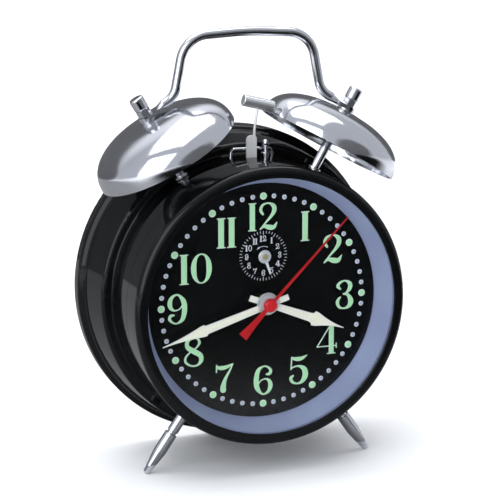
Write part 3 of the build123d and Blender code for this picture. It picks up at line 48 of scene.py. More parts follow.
# ------------------------------------------------------------------------------------------------
# The drum: pressed steel, spun out in steps to a rolled rim at the back, and sprayed with stoving
# enamel that has flowed out to a deep black gloss with a trace of orange peel.
class Wire:
    """An output of a node in a finish. Sums and products of it become Math nodes."""

    def __init__(self, tree, socket=None):
        self.tree, self.socket = tree, socket

    def add(self, kind, settings=(), sockets=(), output=0):
        """A new node: its settings first, then the values or the links of its sockets."""
        node = self.tree.nodes.new("ShaderNode" + kind)
        for name, value in dict(settings).items():
            if name == "stops":
                ramp = node.color_ramp.elements
                ramp[0].position, ramp[0].color = value[0]
                ramp[-1].position, ramp[-1].color = value[-1]
                for place, colour in value[1:-1]:
                    ramp.new(place).color = colour
            else:
                setattr(node, name, value)
        for name, value in dict(sockets).items():
            if isinstance(value, Wire):
                self.tree.links.new(value.socket, node.inputs[name])
            else:
                node.inputs[name].default_value = value
        return Wire(self.tree, node.outputs[output] if node.outputs else None)

    def math(self, operation, *terms):
        return self.add("Math", {"operation": operation}, dict(enumerate(terms)))

    def __add__(self, other):
        return self.math("ADD", self, other)

    def __sub__(self, other):
        return self.math("SUBTRACT", self, other)

    def __rsub__(self, other):
        return self.math("SUBTRACT", other, self)

    def __mul__(self, other):
        return self.math("MULTIPLY", self, other)

    __radd__, __rmul__ = __add__, __mul__

    def noise(self, place, scale, detail=2.0):
        """Even noise from 0 to 1; scale is in features to the metre."""
        return self.add("TexNoise", {}, {"Vector": place, "Scale": scale, "Detail": detail}, "Fac")

    def tint(self, share, plain, other):
        """A colour that goes from plain to other as share goes from 0 to 1."""
        return self.add("Mix", {"data_type": "RGBA"}, {0: share, 6: plain, 7: other}, 2)

    def bump(self, height, depth):
        return self.add("Bump", {}, {"Height": height, "Distance": depth}, "Normal")

    def place(self):
        return self.add("TexCoord", output="Object")

    def reach_from(self, centre):
        """How far the surface is from an axis that runs front to back through the centre."""
        axis = self.add("VectorMath", {"operation": "SUBTRACT"}, {0: self.place(), 1: tuple(centre)})
        flat = self.add("VectorMath", {"operation": "MULTIPLY"}, {0: axis, 1: (1, 0, 1)})
        return self.add("VectorMath", {"operation": "LENGTH"}, {0: flat}, "Value")


def empty_finish(name):
    """A new finish with no nodes, and a Wire to start them from."""
    made = bpy.data.materials.new(name)
    made.use_nodes = True
    made.node_tree.nodes.clear()
    return made, Wire(made.node_tree)


def finish(name, recipe):
    """A finish whose Principled shader takes the sockets that the recipe gives."""
    made, start = empty_finish(name)
    start.add("OutputMaterial", {}, {"Surface": start.add("BsdfPrincipled", {}, recipe(start))})
    return made


def paint(made, *nodes):
    """Give the CAD nodes a finish."""
    for node in nodes:
        for slot in frame["nodes"][node].material_slots:
            slot.material = made


def enamel_recipe(start):
    place = start.place()
    cloud, peel, dust = start.noise(place, 24), start.noise(place, 520), start.noise(place, 5200, 1)
    specks = start.math("GREATER_THAN", dust, 0.79)
    return {
        "Base Color": start.tint(cloud, (0.0022, 0.0024, 0.0027, 1), (0.0050, 0.0052, 0.0055, 1)),
        "Roughness": 0.035 + cloud * 0.05 + specks * 0.2,
        "Specular IOR Level": 0.2,
        "Normal": start.bump(peel, 0.000004),
    }


black_enamel = finish("black_enamel", enamel_recipe)
paint(black_enamel, "case_drum")


# ------------------------------------------------------------------------------------------------
# The bezel: a deep pressed ring with a rolled lip, enamelled with the drum and pushed on it.
paint(black_enamel, "bezel")


# ------------------------------------------------------------------------------------------------
# The crystal: a flat disc of mineral glass held behind the lip. It is clear from the front and
# takes a faint reflection, stronger towards a glancing view.
GLASS_IOR = 1.38


def glass_finish():
    made, start = empty_finish("mineral_glass")
    smear = start.noise(start.place(), 60)
    clear = start.add("BsdfTransparent", {}, {"Color": (0.985, 0.992, 0.988, 1)})
    mirror = start.add("BsdfPrincipled", {}, {"Base Color": (1, 1, 1, 1), "Metallic": 1.0,
                                              "Roughness": smear * 0.03})
    share = start.add("Fresnel", {}, {"IOR": GLASS_IOR}) * (0.55 + smear * 0.15)
    mixed = start.add("MixShader", {}, {0: share, 1: clear, 2: mirror})
    start.add("OutputMaterial", {}, {"Surface": mixed})
    return made


paint(glass_finish(), "crystal")


# ------------------------------------------------------------------------------------------------
# The reflector: a cone of bright aluminium sheet between glass and dial, with a fine turned grain
# round the dial's axis and a thin blue-grey lacquer.
def reflector_recipe(start):
    grain = start.add("TexNoise", {"noise_dimensions": "1D"},
                      {"W": start.reach_from(spindle), "Scale": 14000.0}, "Fac")
    cloud = start.noise(start.place(), 45)
    return {
        "Base Color": start.tint(cloud, (0.50, 0.56, 0.88, 1), (0.60, 0.66, 0.98, 1)),
        "Metallic": 0.30,
        "Roughness": 0.30 + grain * 0.12,
        "Normal": start.bump(grain, 0.000003),
    }


paint(finish("reflector_lacquer", reflector_recipe), "reflector_ring")


# ------------------------------------------------------------------------------------------------
# The dial: a steel disc sprayed black, with its figures and minute dots printed and then filled by
# hand with luminous paint that stands a little proud.
def dial_recipe(start):
    place = start.place()
    cloud, grit = start.noise(place, 30), start.noise(place, 2600)
    return {
        "Base Color": start.tint(cloud, (0.0040, 0.0046, 0.0050, 1), (0.0065, 0.0072, 0.0075, 1)),
        "Roughness": 0.16 + grit * 0.08,
        "Specular IOR Level": 0.30,
        "Normal": start.bump(grit, 0.0000006),
    }


paint(finish("dial_black", dial_recipe), "dial_plate")
dial_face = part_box("dial_plate")[0].y
PAINT_CLEAR = 0.02                     # mm of air under the paint, which keeps it off the sheet's own face
FIGURE_PAINT = {"pitch": 0.11, "rise": 0.16, "edge": 0.42}


def curve_through(points, closed=False, steps=10):
    """A smooth run of points through those given, each of x, z and half the stroke's width."""
    p = np.array(points, float)
    if len(p) == 2:
        return p[0] + (p[1] - p[0]) * np.linspace(0, 1, 4 * steps)[:, None]
    ends = (p[-2:-1], p[1:2]) if closed else (2 * p[:1] - p[1:2], 2 * p[-1:] - p[-2:-1])
    q = np.vstack([ends[0], p, ends[1]])
    t = np.linspace(0, 1, steps, endpoint=False)[:, None]
    runs = [0.5 * (2 * b + (c - a) * t + (2 * a - 5 * b + 4 * c - d) * t**2 + (3 * b - a - 3 * c + d) * t**3)
            for a, b, c, d in zip(q, q[1:], q[2:], q[3:])]
    return np.vstack(runs + [p[-1:]])


def brushed(name, strokes, pitch, rise, edge):
    """Paint laid in brush strokes of x, z and half width, in mm. The mesh follows the outline of all
    the strokes together, its top swells by rise over the width edge, and 'rim' is 1 at the outline."""
    dabs = np.vstack(strokes)
    low = dabs[:, :2].min(0) - dabs[:, 2].max() - 2 * pitch
    high = dabs[:, :2].max(0) + dabs[:, 2].max() + 2 * pitch
    xs, zs = np.arange(low[0], high[0], pitch), np.arange(low[1], high[1], pitch)
    gx, gz = np.meshgrid(xs, zs, indexing="ij")
    depth = np.full(gx.shape, 1e9)
    for x, z, half in dabs:
        depth = np.minimum(depth, np.hypot(gx - x, gz - z) - half)
    verts, found, faces = [], {}, []

    def corner(i, j):
        if (i, j) not in found:
            found[i, j] = len(verts)
            verts.append((xs[i], zs[j], depth[i, j]))
        return found[i, j]

    def crossing(a, b):
        key = (min(a, b), max(a, b))
        if key not in found:
            share = depth[a] / (depth[a] - depth[b])
            found[key] = len(verts)
            verts.append((xs[a[0]] + share * (xs[b[0]] - xs[a[0]]),
                          zs[a[1]] + share * (zs[b[1]] - zs[a[1]]), 0.0))
        return found[key]

    inside = depth < 0
    cells = inside[:-1, :-1] | inside[1:, :-1] | inside[:-1, 1:] | inside[1:, 1:]
    for i, j in zip(*np.nonzero(cells)):
        square = [(i, j), (i + 1, j), (i + 1, j + 1), (i, j + 1)]
        face = []
        for a, b in zip(square, square[1:] + square[:1]):
            if inside[a]:
                face.append(corner(*a))
            if inside[a] != inside[b]:
                face.append(crossing(a, b))
        if len(face) > 2:
            faces.append(face)
    co = np.array(verts)
    share = np.clip(-co[:, 2] / edge, 0, 1)
    swell = rise * np.sqrt(1 - (1 - share) ** 2)
    made = bpy.data.meshes.new(name)
    made.from_pydata(np.column_stack([co[:, 0], -swell, co[:, 1]]) * MM, [], faces)
    made.attributes.new("rim", "FLOAT", "POINT").data.foreach_set("value", (1 - share).astype(np.float32))
    made.shade_smooth()
    return made


def laid(name, mesh, material, body, place):
    """An object for paint or print, resting on what is at place."""
    piece = bpy.data.objects.new(name, mesh)
    mesh.materials.append(material)
    bpy.context.scene.collection.objects.link(piece)
    piece.location = place
    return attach(piece, body)


def luminous(fill, outline):
    """Recipe of a chalky luminous paint with a brighter printed outline."""
    def recipe(start):
        rim = start.add("Attribute", {"attribute_name": "rim"}, {}, "Fac")
        grain = start.noise(start.place(), 2600, 3)
        edge = start.add("ValToRGB", {"stops": [(0.45, (0, 0, 0, 1)), (0.85, (1, 1, 1, 1))]}, {0: rim})
        filled = start.tint(grain, tuple(0.90 * c for c in fill) + (1,), tuple(1.06 * c for c in fill) + (1,))
        return {
            "Base Color": start.add("Mix", {"data_type": "RGBA"}, {0: edge, 6: filled, 7: (*outline, 1)}, 2),
            "Roughness": 0.55 + grain * 0.25,
            "Specular IOR Level": 0.25,
            "Normal": start.bump(grain, 0.00001),
        }
    return recipe


green_lume = finish("green_lume", luminous((0.50, 0.90, 0.51), (0.82, 0.98, 0.82)))

# Each figure is drawn in strokes on a height of 1: x, z and half the stroke's width.
STEM = [[(x, 0.045, 0.042), (x, 0.955, 0.042)] for x in (0.064, 0.12, 0.176)] + [
        [(-0.02, 0.02, 0.018), (0.26, 0.02, 0.018)], [(-0.01, 0.98, 0.018), (0.25, 0.98, 0.018)]]
SIX = [[(0.455, 0.70, 0.030), (0.560, 0.715, 0.050), (0.600, 0.83, 0.048), (0.475, 0.955, 0.030),
        (0.330, 0.975, 0.028), (0.155, 0.84, 0.070), (0.090, 0.53, 0.088), (0.130, 0.24, 0.080),
        (0.315, 0.030, 0.028), (0.510, 0.100, 0.052), (0.590, 0.29, 0.078), (0.550, 0.46, 0.060),
        (0.425, 0.545, 0.026), (0.270, 0.51, 0.020), (0.170, 0.40, 0.018)]]
FIGURES = {
    "0": [[(0.35 + (0.355 - w) * cos(t), 0.5 + (0.5 - w) * sin(t), w)
           for t in np.linspace(0, 2 * pi, 25) for w in [0.02 + 0.072 * abs(cos(t)) ** 1.6]]],
    "1": STEM,
    "2": [[(0.150, 0.585, 0.040), (0.070, 0.74, 0.055), (0.150, 0.91, 0.042), (0.370, 0.970, 0.028),
           (0.550, 0.86, 0.075), (0.575, 0.70, 0.080), (0.470, 0.51, 0.055), (0.230, 0.25, 0.030),
           (0.050, 0.05, 0.020)],
          [(0.050, 0.05, 0.020), (0.200, 0.15, 0.050), (0.390, 0.105, 0.090), (0.560, 0.105, 0.070),
           (0.680, 0.27, 0.014)]],
    "3": [[(0.165, 0.70, 0.030), (0.075, 0.80, 0.055), (0.165, 0.925, 0.042), (0.345, 0.972, 0.026),
           (0.500, 0.87, 0.070), (0.510, 0.72, 0.075), (0.390, 0.56, 0.036), (0.270, 0.525, 0.020)],
          [(0.270, 0.525, 0.020), (0.440, 0.48, 0.050), (0.545, 0.27, 0.092), (0.480, 0.10, 0.065),
           (0.305, 0.028, 0.028), (0.130, 0.085, 0.045), (0.065, 0.24, 0.060), (0.110, 0.36, 0.045),
           (0.175, 0.42, 0.022)]],
    "4": [[(x, 0.94, 0.040), (x, 0.045, 0.040)] for x in (0.492, 0.540, 0.588)] + [
          [(0.480, 0.96, 0.020), (0.030, 0.275, 0.020)], [(0.030, 0.275, 0.020), (0.720, 0.275, 0.018)],
          [(0.720, 0.20, 0.020), (0.720, 0.35, 0.020)], [(0.400, 0.02, 0.018), (0.680, 0.02, 0.018)]],
    "5": [[(0.100, 0.93, 0.025), (0.270, 0.875, 0.068), (0.460, 0.89, 0.060), (0.640, 0.985, 0.012)],
          [(0.100, 0.95, 0.022), (0.070, 0.53, 0.020)],
          [(0.070, 0.55, 0.020), (0.170, 0.61, 0.025), (0.350, 0.625, 0.035), (0.540, 0.51, 0.085),
           (0.580, 0.29, 0.098), (0.470, 0.09, 0.062), (0.290, 0.028, 0.028), (0.120, 0.10, 0.048),
           (0.070, 0.23, 0.055), (0.150, 0.31, 0.030)]],
    "6": SIX,
    "7": [[(0.040, 0.97, 0.024), (0.030, 0.74, 0.024)],
          [(0.060, 0.90, 0.040), (0.200, 0.865, 0.068), (0.400, 0.89, 0.058), (0.610, 0.985, 0.014)],
          [(0.610, 0.985, 0.014), (0.500, 0.77, 0.032), (0.335, 0.47, 0.058), (0.265, 0.22, 0.092),
           (0.265, 0.11, 0.098)]],
    "8": [[(0.330, 0.972, 0.026), (0.140, 0.87, 0.058), (0.135, 0.68, 0.072), (0.330, 0.53, 0.088),
           (0.560, 0.38, 0.082), (0.600, 0.20, 0.070), (0.480, 0.05, 0.036), (0.265, 0.035, 0.030),
           (0.075, 0.165, 0.040), (0.075, 0.34, 0.036), (0.230, 0.50, 0.025), (0.440, 0.64, 0.026),
           (0.545, 0.80, 0.045), (0.470, 0.94, 0.034), (0.330, 0.972, 0.026)]],
    "9": [[(0.665 - x, 1 - z, w) for x, z, w in SIX[0]]],
}
ADVANCE = {"0": 0.72, "1": 0.24, "2": 0.70, "3": 0.63, "4": 0.74, "5": 0.68, "6": 0.665, "7": 0.62,
           "8": 0.665, "9": 0.665}


def figures(text, height, centre, gap=0.12, thin=0.0):
    """The strokes of a number round its centre, in mm. A thin number has strokes of that half width."""
    width = sum(ADVANCE[c] for c in text) + gap * (len(text) - 1)
    strokes, start = [], -width / 2
    for c in text:
        for stroke in FIGURES[c]:
            run = curve_through(stroke, closed=stroke[0] == stroke[-1])
            run[:, 0] += start
            run[:, 1] -= 0.5
            run[:, 2] = thin or run[:, 2]
            strokes.append(run * height + (*centre, 0.0))
        start += ADVANCE[c] + gap
    return strokes


HOURS = {12: (0.0, 31.9), 1: (16.5, 27.2), 2: (27.6, 17.8), 3: (32.6, -0.2), 4: (25.5, -17.2),
         5: (14.2, -27.9), 6: (0.0, -30.7), 7: (-15.3, -28.5), 8: (-27.4, -17.2), 9: (-33.4, -0.4),
         10: (-26.0, 14.1), 11: (-14.4, 26.7)}
HOUR_HEIGHT, TWELVE_HEIGHT = 11.3, 10.5
on_dial = Vector((spindle.x, dial_face - PAINT_CLEAR * MM, spindle.z))
for hour, centre in HOURS.items():
    height = TWELVE_HEIGHT if hour == 12 else HOUR_HEIGHT
    strokes = figures(str(hour), height, centre)
    laid(f"hour_figure_{hour}", brushed("figure", strokes, **FIGURE_PAINT), green_lume, "case", on_dial)

DOT_CIRCLE, HOUR_DOT, MINUTE_DOT, DOT_RISE = 39.6, 1.35, 0.88, 0.14
DOT_STEPS, DOT_EDGE = 9, 0.75          # a dot's mesh steps and its rolled edge, over its radius


def dots(name, minutes, size):
    """Round dots of paint at some of the sixty minutes."""
    strokes = [np.array([(DOT_CIRCLE * sin(radians(6 * m)), DOT_CIRCLE * cos(radians(6 * m)), size)])
               for m in minutes]
    pieces = [brushed(name, [s], size / DOT_STEPS, DOT_RISE, size * DOT_EDGE) for s in strokes]
    whole = bpy.data.meshes.new(name)
    verts, faces, rim = [], [], []
    for piece in pieces:
        first = len(verts)
        verts += [tuple(v.co) for v in piece.vertices]
        faces += [[first + i for i in p.vertices] for p in piece.polygons]
        rim += [a.value for a in piece.attributes["rim"].data]
        bpy.data.meshes.remove(piece)
    whole.from_pydata(verts, [], faces)
    whole.attributes.new("rim", "FLOAT", "POINT").data.foreach_set("value", rim)
    whole.shade_smooth()
    return whole


laid("hour_dots", dots("hour_dots", range(0, 60, 5), HOUR_DOT), green_lume, "case", on_dial)
white_lume = finish("white_lume", luminous((0.50, 0.53, 0.66), (0.94, 0.96, 1.0)))
laid("minute_dots", dots("minute_dots", [m for m in range(60) if m % 5], MINUTE_DOT), white_lume, "case",
     on_dial)


# ------------------------------------------------------------------------------------------------
# The alarm dial: printed in white round the alarm arbor, with a tick for each quarter of an hour,
# small figures inside them, and an arrow for the way the hand is turned.
def print_recipe(start):
    grain = start.noise(start.place(), 5000)
    return {
        "Base Color": start.tint(grain, (0.62, 0.63, 0.72, 1), (0.74, 0.75, 0.82, 1)),
        "Roughness": 0.45 + grain * 0.2,
        "Normal": start.bump(grain, 0.000004),
    }


white_print = finish("white_print", print_recipe)
alarm_low, alarm_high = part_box("alarm_arbor")
alarm_centre = Vector(((alarm_low.x + alarm_high.x) / 2, 0, (alarm_low.z + alarm_high.z) / 2))
on_alarm_dial = Vector((alarm_centre.x, dial_face - PAINT_CLEAR * MM, alarm_centre.z))
TICKS_OUT, TICK, LONG_TICK, TICK_HALF = 9.3, 0.75, 1.25, 0.11
ALARM_FIGURES, ALARM_FIGURE_HEIGHT, ARROW_CIRCLE = 6.5, 2.1, 3.6
THIN_PRINT = {"pitch": 0.06, "rise": 0.03, "edge": 0.08}


def around(distance, turn):
    """Point at a distance and a clockwise angle in degrees from twelve."""
    return (distance * sin(radians(turn)), distance * cos(radians(turn)))


ticks = [curve_through([(*around(TICKS_OUT, 7.5 * k), TICK_HALF),
                        (*around(TICKS_OUT - (TICK if k % 4 else LONG_TICK), 7.5 * k), TICK_HALF)], steps=4)
         for k in range(48)]
laid("alarm_ticks", brushed("alarm_ticks", ticks, pitch=0.07, rise=0.03, edge=0.08), white_print, "case",
     on_alarm_dial)
small = [stroke for hour in range(1, 13)
         for stroke in figures(str(hour), ALARM_FIGURE_HEIGHT, around(ALARM_FIGURES, 30 * hour), 0.2, 0.07)]
laid("alarm_figures", brushed("alarm_figures", small, **THIN_PRINT), white_print, "case", on_alarm_dial)
sweep = curve_through([(*around(ARROW_CIRCLE, t), 0.11) for t in range(-28, 35, 8)])
head = curve_through([(*around(ARROW_CIRCLE, -44), 0.04), (*around(ARROW_CIRCLE, -28), 0.34)], steps=4)
laid("alarm_arrow", brushed("alarm_arrow", [sweep, head], **THIN_PRINT), white_print, "case", on_alarm_dial)


# ------------------------------------------------------------------------------------------------
# The hands: stamped from thin sheet and sprayed, ivory for the hours and minutes with a strip of
# luminous paint in their wide part, white for the alarm, and red for the seconds. They are pressed
# on their arbors, the hour and minute hands by bare nickel collets, the others by turned bosses.
def sprayed(plain, worn, rough, centre, collet):
    """Recipe of a sprayed colour that thins a little in a cloudy pattern. Within the radius of its
    collet, round the centre that it turns on, the sheet is bare nickel."""
    def recipe(start):
        place = start.place()
        cloud, grain = start.noise(place, 160), start.noise(place, 3000)
        bare = start.math("LESS_THAN", start.reach_from(centre), collet * MM)
        colour = start.tint(cloud, (*plain, 1), (*worn, 1))
        return {
            "Base Color": start.tint(bare, colour, (0.80, 0.81, 0.83, 1)),
            "Metallic": bare * 0.35,
            "Roughness": rough + grain * 0.12,
            "Normal": start.bump(grain, 0.000004),
        }
    return recipe


HAND_COLLET, ALARM_COLLET, NO_COLLET = 4.4, 2.0, 0.0
paint(finish("hand_ivory", sprayed((0.98, 0.97, 0.90), (0.92, 0.91, 0.84), 0.30, spindle, HAND_COLLET)),
      "hour_hand", "minute_hand")
paint(finish("hand_red", sprayed((0.60, 0.007, 0.012), (0.50, 0.006, 0.010), 0.20, spindle, NO_COLLET)),
      "seconds_hand")
paint(finish("hand_white", sprayed((0.84, 0.85, 0.90), (0.76, 0.77, 0.83), 0.30, alarm_centre,
                                   ALARM_COLLET)), "alarm_hand")
cream_lume = finish("cream_lume", luminous((0.98, 0.96, 0.80), (0.98, 0.98, 0.93)))
HAND_CLEAR = 0.01                      # mm of air under the paint and the bosses on a hand
BOSS_STEPS, BOSS_EDGE = 16, 0.7        # a boss's mesh steps and its rolled edge, over its radius


def hand_fill(name, node, body, strip, along):
    """Luminous paint on a hand: strip holds pairs of distance from the spindle and half width, in mm."""
    front = Vector((spindle.x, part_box(node)[0].y - HAND_CLEAR * MM, spindle.z))
    run = curve_through([(0.0, z, half) for z, half in strip], steps=24)
    mesh = brushed(name, [run], pitch=0.12, rise=0.20, edge=0.7)
    mesh.transform(Matrix.Rotation(radians(along), 4, "Y"))
    laid(name, mesh, cream_lume, body, front)


def boss(name, hub, front, radius, height, material, body):
    """A low round boss with a rolled edge, on a hub whose front face is at that depth."""
    mesh = brushed(name, [np.array([(0.0, 0.0, radius)])], radius / BOSS_STEPS, height, BOSS_EDGE * radius)
    laid(name, mesh, material, body, Vector((hub.x, front - HAND_CLEAR * MM, hub.z)))


def brass_pin_recipe(start):
    tone = start.noise(start.place(), 900)
    return {"Base Color": start.tint(tone, (0.55, 0.47, 0.24, 1), (0.66, 0.58, 0.34, 1)),
            "Metallic": 0.6, "Roughness": 0.30 + tone * 0.15}


def collet_recipe(start):
    tone = start.noise(start.place(), 700)
    return {"Base Color": start.tint(tone, (0.74, 0.75, 0.78, 1), (0.84, 0.85, 0.88, 1)),
            "Metallic": 0.4, "Roughness": 0.28 + tone * 0.12}


SECONDS_BOSS_RADIUS, SECONDS_BOSS = 2.6, 1.1
boss("seconds_hand_boss", spindle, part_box("seconds_hand")[0].y, SECONDS_BOSS_RADIUS, SECONDS_BOSS,
     finish("boss_red", sprayed((0.74, 0.008, 0.020), (0.64, 0.006, 0.014), 0.22, spindle, NO_COLLET)),
     "seconds")
ALARM_BOSS_RADIUS, ALARM_BOSS, ALARM_PIN_RADIUS, ALARM_PIN = 2.5, 0.6, 1.1, 0.4
alarm_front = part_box("alarm_hand")[0].y
boss("alarm_hand_boss", alarm_centre, alarm_front, ALARM_BOSS_RADIUS, ALARM_BOSS,
     finish("bright_collet", collet_recipe), "alarm_setting")
boss("alarm_hand_pin", alarm_centre, alarm_front - ALARM_BOSS * MM, ALARM_PIN_RADIUS, ALARM_PIN,
     finish("brass_pin", brass_pin_recipe), "alarm_setting")

HOUR_TURN, MINUTE_TURN = 111.06, 252.74
hand_fill("hour_hand_fill", "hour_hand", "hour",
          [(7.5, 0.70), (12, 0.95), (17.2, 1.10), (19.4, 2.05), (21.5, 2.0), (25, 1.0), (28.5, 0.35)],
          HOUR_TURN)
hand_fill("minute_hand_fill", "minute_hand", "minute",
          [(7.5, 0.70), (15, 0.90), (24, 1.05), (26.2, 1.60), (28.6, 1.55), (33, 0.85), (38, 0.30)],
          MINUTE_TURN)


# ------------------------------------------------------------------------------------------------
# The bells: domes pressed from steel, polished and plated with bright chromium. The handle, feet,
# nuts, posts and striker parts went through the same bath.
def chrome_recipe(start):
    place = start.place()
    haze, peel = start.noise(place, 38), start.noise(place, 260)
    return {
        "Base Color": start.tint(haze, (0.52, 0.53, 0.57, 1), (0.60, 0.61, 0.65, 1)),
        "Metallic": 1.0,
        "Roughness": 0.09 + haze * 0.07,
        "Normal": start.bump(peel, 0.000006),
    }


chrome = finish("bright_chrome", chrome_recipe)
paint(chrome, "bell_left", "bell_right", "bell_post_left", "bell_post_right", "post_nuts", "bell_washers",
      "strap_nuts", "cap_nuts")


# ------------------------------------------------------------------------------------------------
# The handle: one length of rod, its ends flattened to straps that lie on the bells under the nuts.
paint(chrome, "handle")


# ------------------------------------------------------------------------------------------------
# The feet: turned steel, grooved below the shoulder, screwed through the drum. The pad at the back
# is black rubber.
def rubber_recipe(start):
    place = start.place()
    grain, dust = start.noise(place, 1500, 3), start.noise(place, 90)
    return {
        "Base Color": start.tint(dust, (0.012, 0.012, 0.012, 1), (0.030, 0.029, 0.028, 1)),
        "Roughness": 0.72 + grain * 0.2,
        "Normal": start.bump(grain, 0.00004),
    }


paint(chrome, "foot_left", "foot_right", "foot_nuts")
paint(finish("black_rubber", rubber_recipe), "rear_foot")


# ------------------------------------------------------------------------------------------------
# The striker: a blade and a wire rod stamped and drawn from steel, nickelled to a soft sheen, with
# a chromed barrel on top. It swings between a bent wire rail and a round-headed stud.
def nickel_recipe(start):
    place = start.place()
    haze = start.noise(place, 90)
    brush = start.noise(start.add("Mapping", {}, {"Vector": place, "Scale": (9.0, 1.0, 1.0)}), 500, 3)
    return {
        "Base Color": start.tint(haze, (0.78, 0.78, 0.78, 1), (0.90, 0.90, 0.89, 1)),
        "Metallic": 0.4,
        "Roughness": 0.34 + brush * 0.16,
        "Normal": start.bump(brush, 0.00001),
    }


nickel = finish("soft_nickel", nickel_recipe)
paint(nickel, "hammer_arm")
paint(chrome, "striker_rail", "striker_stop")


def barrel_recipe(start):
    place = start.place()
    haze, turned = start.noise(place, 160), start.noise(place, 1400)
    return {
        "Base Color": start.tint(haze, (0.66, 0.67, 0.69, 1), (0.76, 0.77, 0.79, 1)),
        "Metallic": 0.85,
        "Roughness": 0.18 + turned * 0.10,
        "Normal": start.bump(turned, 0.000006),
    }


paint(finish("turned_chrome", barrel_recipe), "hammer_head")


# ------------------------------------------------------------------------------------------------
# The back: a pressed cover with three plated screws, sprayed in a fine black crackle. Keys and
# setting knobs stand out of it, the keys plated and the knobs moulded in black plastic.
def crackle_recipe(start):
    place = start.place()
    cells = start.add("TexVoronoi", {"feature": "F1"}, {"Vector": place, "Scale": 1500.0}, "Distance")
    cloud = start.noise(place, 40)
    return {
        "Base Color": start.tint(cloud, (0.010, 0.010, 0.011, 1), (0.018, 0.018, 0.019, 1)),
        "Roughness": 0.38 + cells * 0.3,
        "Normal": start.bump(cells, 0.00005),
    }


def plastic_recipe(start):
    place = start.place()
    grain, cloud = start.noise(place, 2400, 3), start.noise(place, 70)
    return {
        "Base Color": start.tint(cloud, (0.014, 0.014, 0.015, 1), (0.022, 0.022, 0.023, 1)),
        "Roughness": 0.34 + grain * 0.16,
        "Normal": start.bump(grain, 0.000012),
    }


def plated_recipe(start):
    place = start.place()
    haze, pits = start.noise(place, 120), start.noise(place, 1800)
    return {
        "Base Color": start.tint(haze, (0.52, 0.50, 0.45, 1), (0.66, 0.64, 0.59, 1)),
        "Metallic": 1.0,
        "Roughness": 0.20 + haze * 0.18,
        "Normal": start.bump(pits, 0.00001),
    }


plated = finish("plated_steel", plated_recipe)
paint(finish("black_crackle", crackle_recipe), "rear_cover")
paint(finish("black_plastic", plastic_recipe), "set_knob", "alarm_knob", "alarm_stop_button")
paint(nickel, "time_key", "alarm_key")
paint(plated, "cover_screws", "regulator_lever")


# ------------------------------------------------------------------------------------------------
# The movement: brass plates and wheels on steel arbors, with blued springs. The brass has a fine
# straight grain and has begun to tone.
def brass_recipe(start):
    place = start.place()
    tone = start.noise(place, 60)
    grain = start.noise(start.add("Mapping", {}, {"Vector": place, "Scale": (1.0, 1.0, 14.0)}), 260, 3)
    return {
        "Base Color": start.tint(tone, (0.55, 0.36, 0.12, 1), (0.72, 0.52, 0.22, 1)),
        "Metallic": 1.0,
        "Roughness": 0.20 + grain * 0.20,
        "Normal": start.bump(grain, 0.00001),
    }


def blued_recipe(start):
    temper = start.noise(start.place(), 140)
    return {
        "Base Color": start.tint(temper, (0.020, 0.035, 0.13, 1), (0.05, 0.045, 0.20, 1)),
        "Metallic": 1.0,
        "Roughness": 0.22 + temper * 0.12,
    }


paint(finish("toned_brass", brass_recipe), "front_plate", "back_plate", "time_great_wheel",
      "alarm_great_wheel", "centre_wheel", "third_wheel", "fourth_wheel", "escape_wheel", "balance_wheel",
      "cannon_pinion", "minute_wheel", "hour_wheel", "alarm_wheel", "alarm_escape_wheel")
paint(plated, "plate_pillars", "pillar_nuts", "time_winding_arbor", "alarm_winding_arbor", "time_click",
      "alarm_click", "pallet_lever", "set_arbor", "alarm_arbor")
paint(finish("blued_steel", blued_recipe), "time_mainspring", "alarm_mainspring", "hairspring")


# ------------------------------------------------------------------------------------------------
# The studio: a pale floor that runs up behind the clock, soft boxes above, to the left and on the
# wall behind, and dark cloths with soft edges, seen only in gloss, that keep the enamel black.
def floor_recipe(start):
    cloud = start.noise(start.place(), 3)
    return {
        "Base Color": start.tint(cloud, (0.86, 0.86, 0.87, 1), (0.90, 0.90, 0.905, 1)),
        "Roughness": 0.6 + cloud * 0.1,
        "Specular IOR Level": 0.2,
    }


SWEEP_START, SWEEP_RADIUS, SWEEP_TOP, HALF_WIDTH = 0.7, 0.6, 2.6, 3.0
profile = [(-3.0, 0.0)] + [(SWEEP_START + SWEEP_RADIUS * sin(t), SWEEP_RADIUS * (1 - cos(t)))
                           for t in np.linspace(0, pi / 2, 24)] + [(SWEEP_START + SWEEP_RADIUS, SWEEP_TOP)]
sheet = bpy.data.meshes.new("floor")
sheet.from_pydata([(x, y, z) for y, z in profile for x in (-HALF_WIDTH, HALF_WIDTH)], [],
                  [(2 * k, 2 * k + 1, 2 * k + 3, 2 * k + 2) for k in range(len(profile) - 1)])
sheet.shade_smooth()
floor = bpy.data.objects.new("floor", sheet)
bpy.context.scene.collection.objects.link(floor)
floor.data.materials.append(finish("pale_floor", floor_recipe))


CARD_CLEAR, CARD_FULL = 1.0, 0.55      # distance from a card's middle, over half its size


def card_finish(name, dark):
    """Dark cloth that thins out to nothing towards the edge of a unit square."""
    made, start = empty_finish(name)
    place = start.place()
    reach = start.add("VectorMath", {"operation": "LENGTH"}, {0: place}, "Value") * 2
    fall = start.add("MapRange", {"interpolation_type": "SMOOTHERSTEP"},
                     {"Value": reach, "From Min": CARD_CLEAR, "From Max": CARD_FULL})
    weave = start.noise(place, 6)
    cloth = start.add("BsdfPrincipled", {}, {
        "Base Color": start.tint(weave, (dark, dark, dark, 1), (1.4 * dark, 1.4 * dark, 1.4 * dark, 1)),
        "Roughness": 0.9, "Specular IOR Level": 0.0})
    clear = start.add("BsdfTransparent")
    start.add("OutputMaterial", {}, {"Surface": start.add("MixShader", {}, {0: fall, 1: clear, 2: cloth})})
    return made


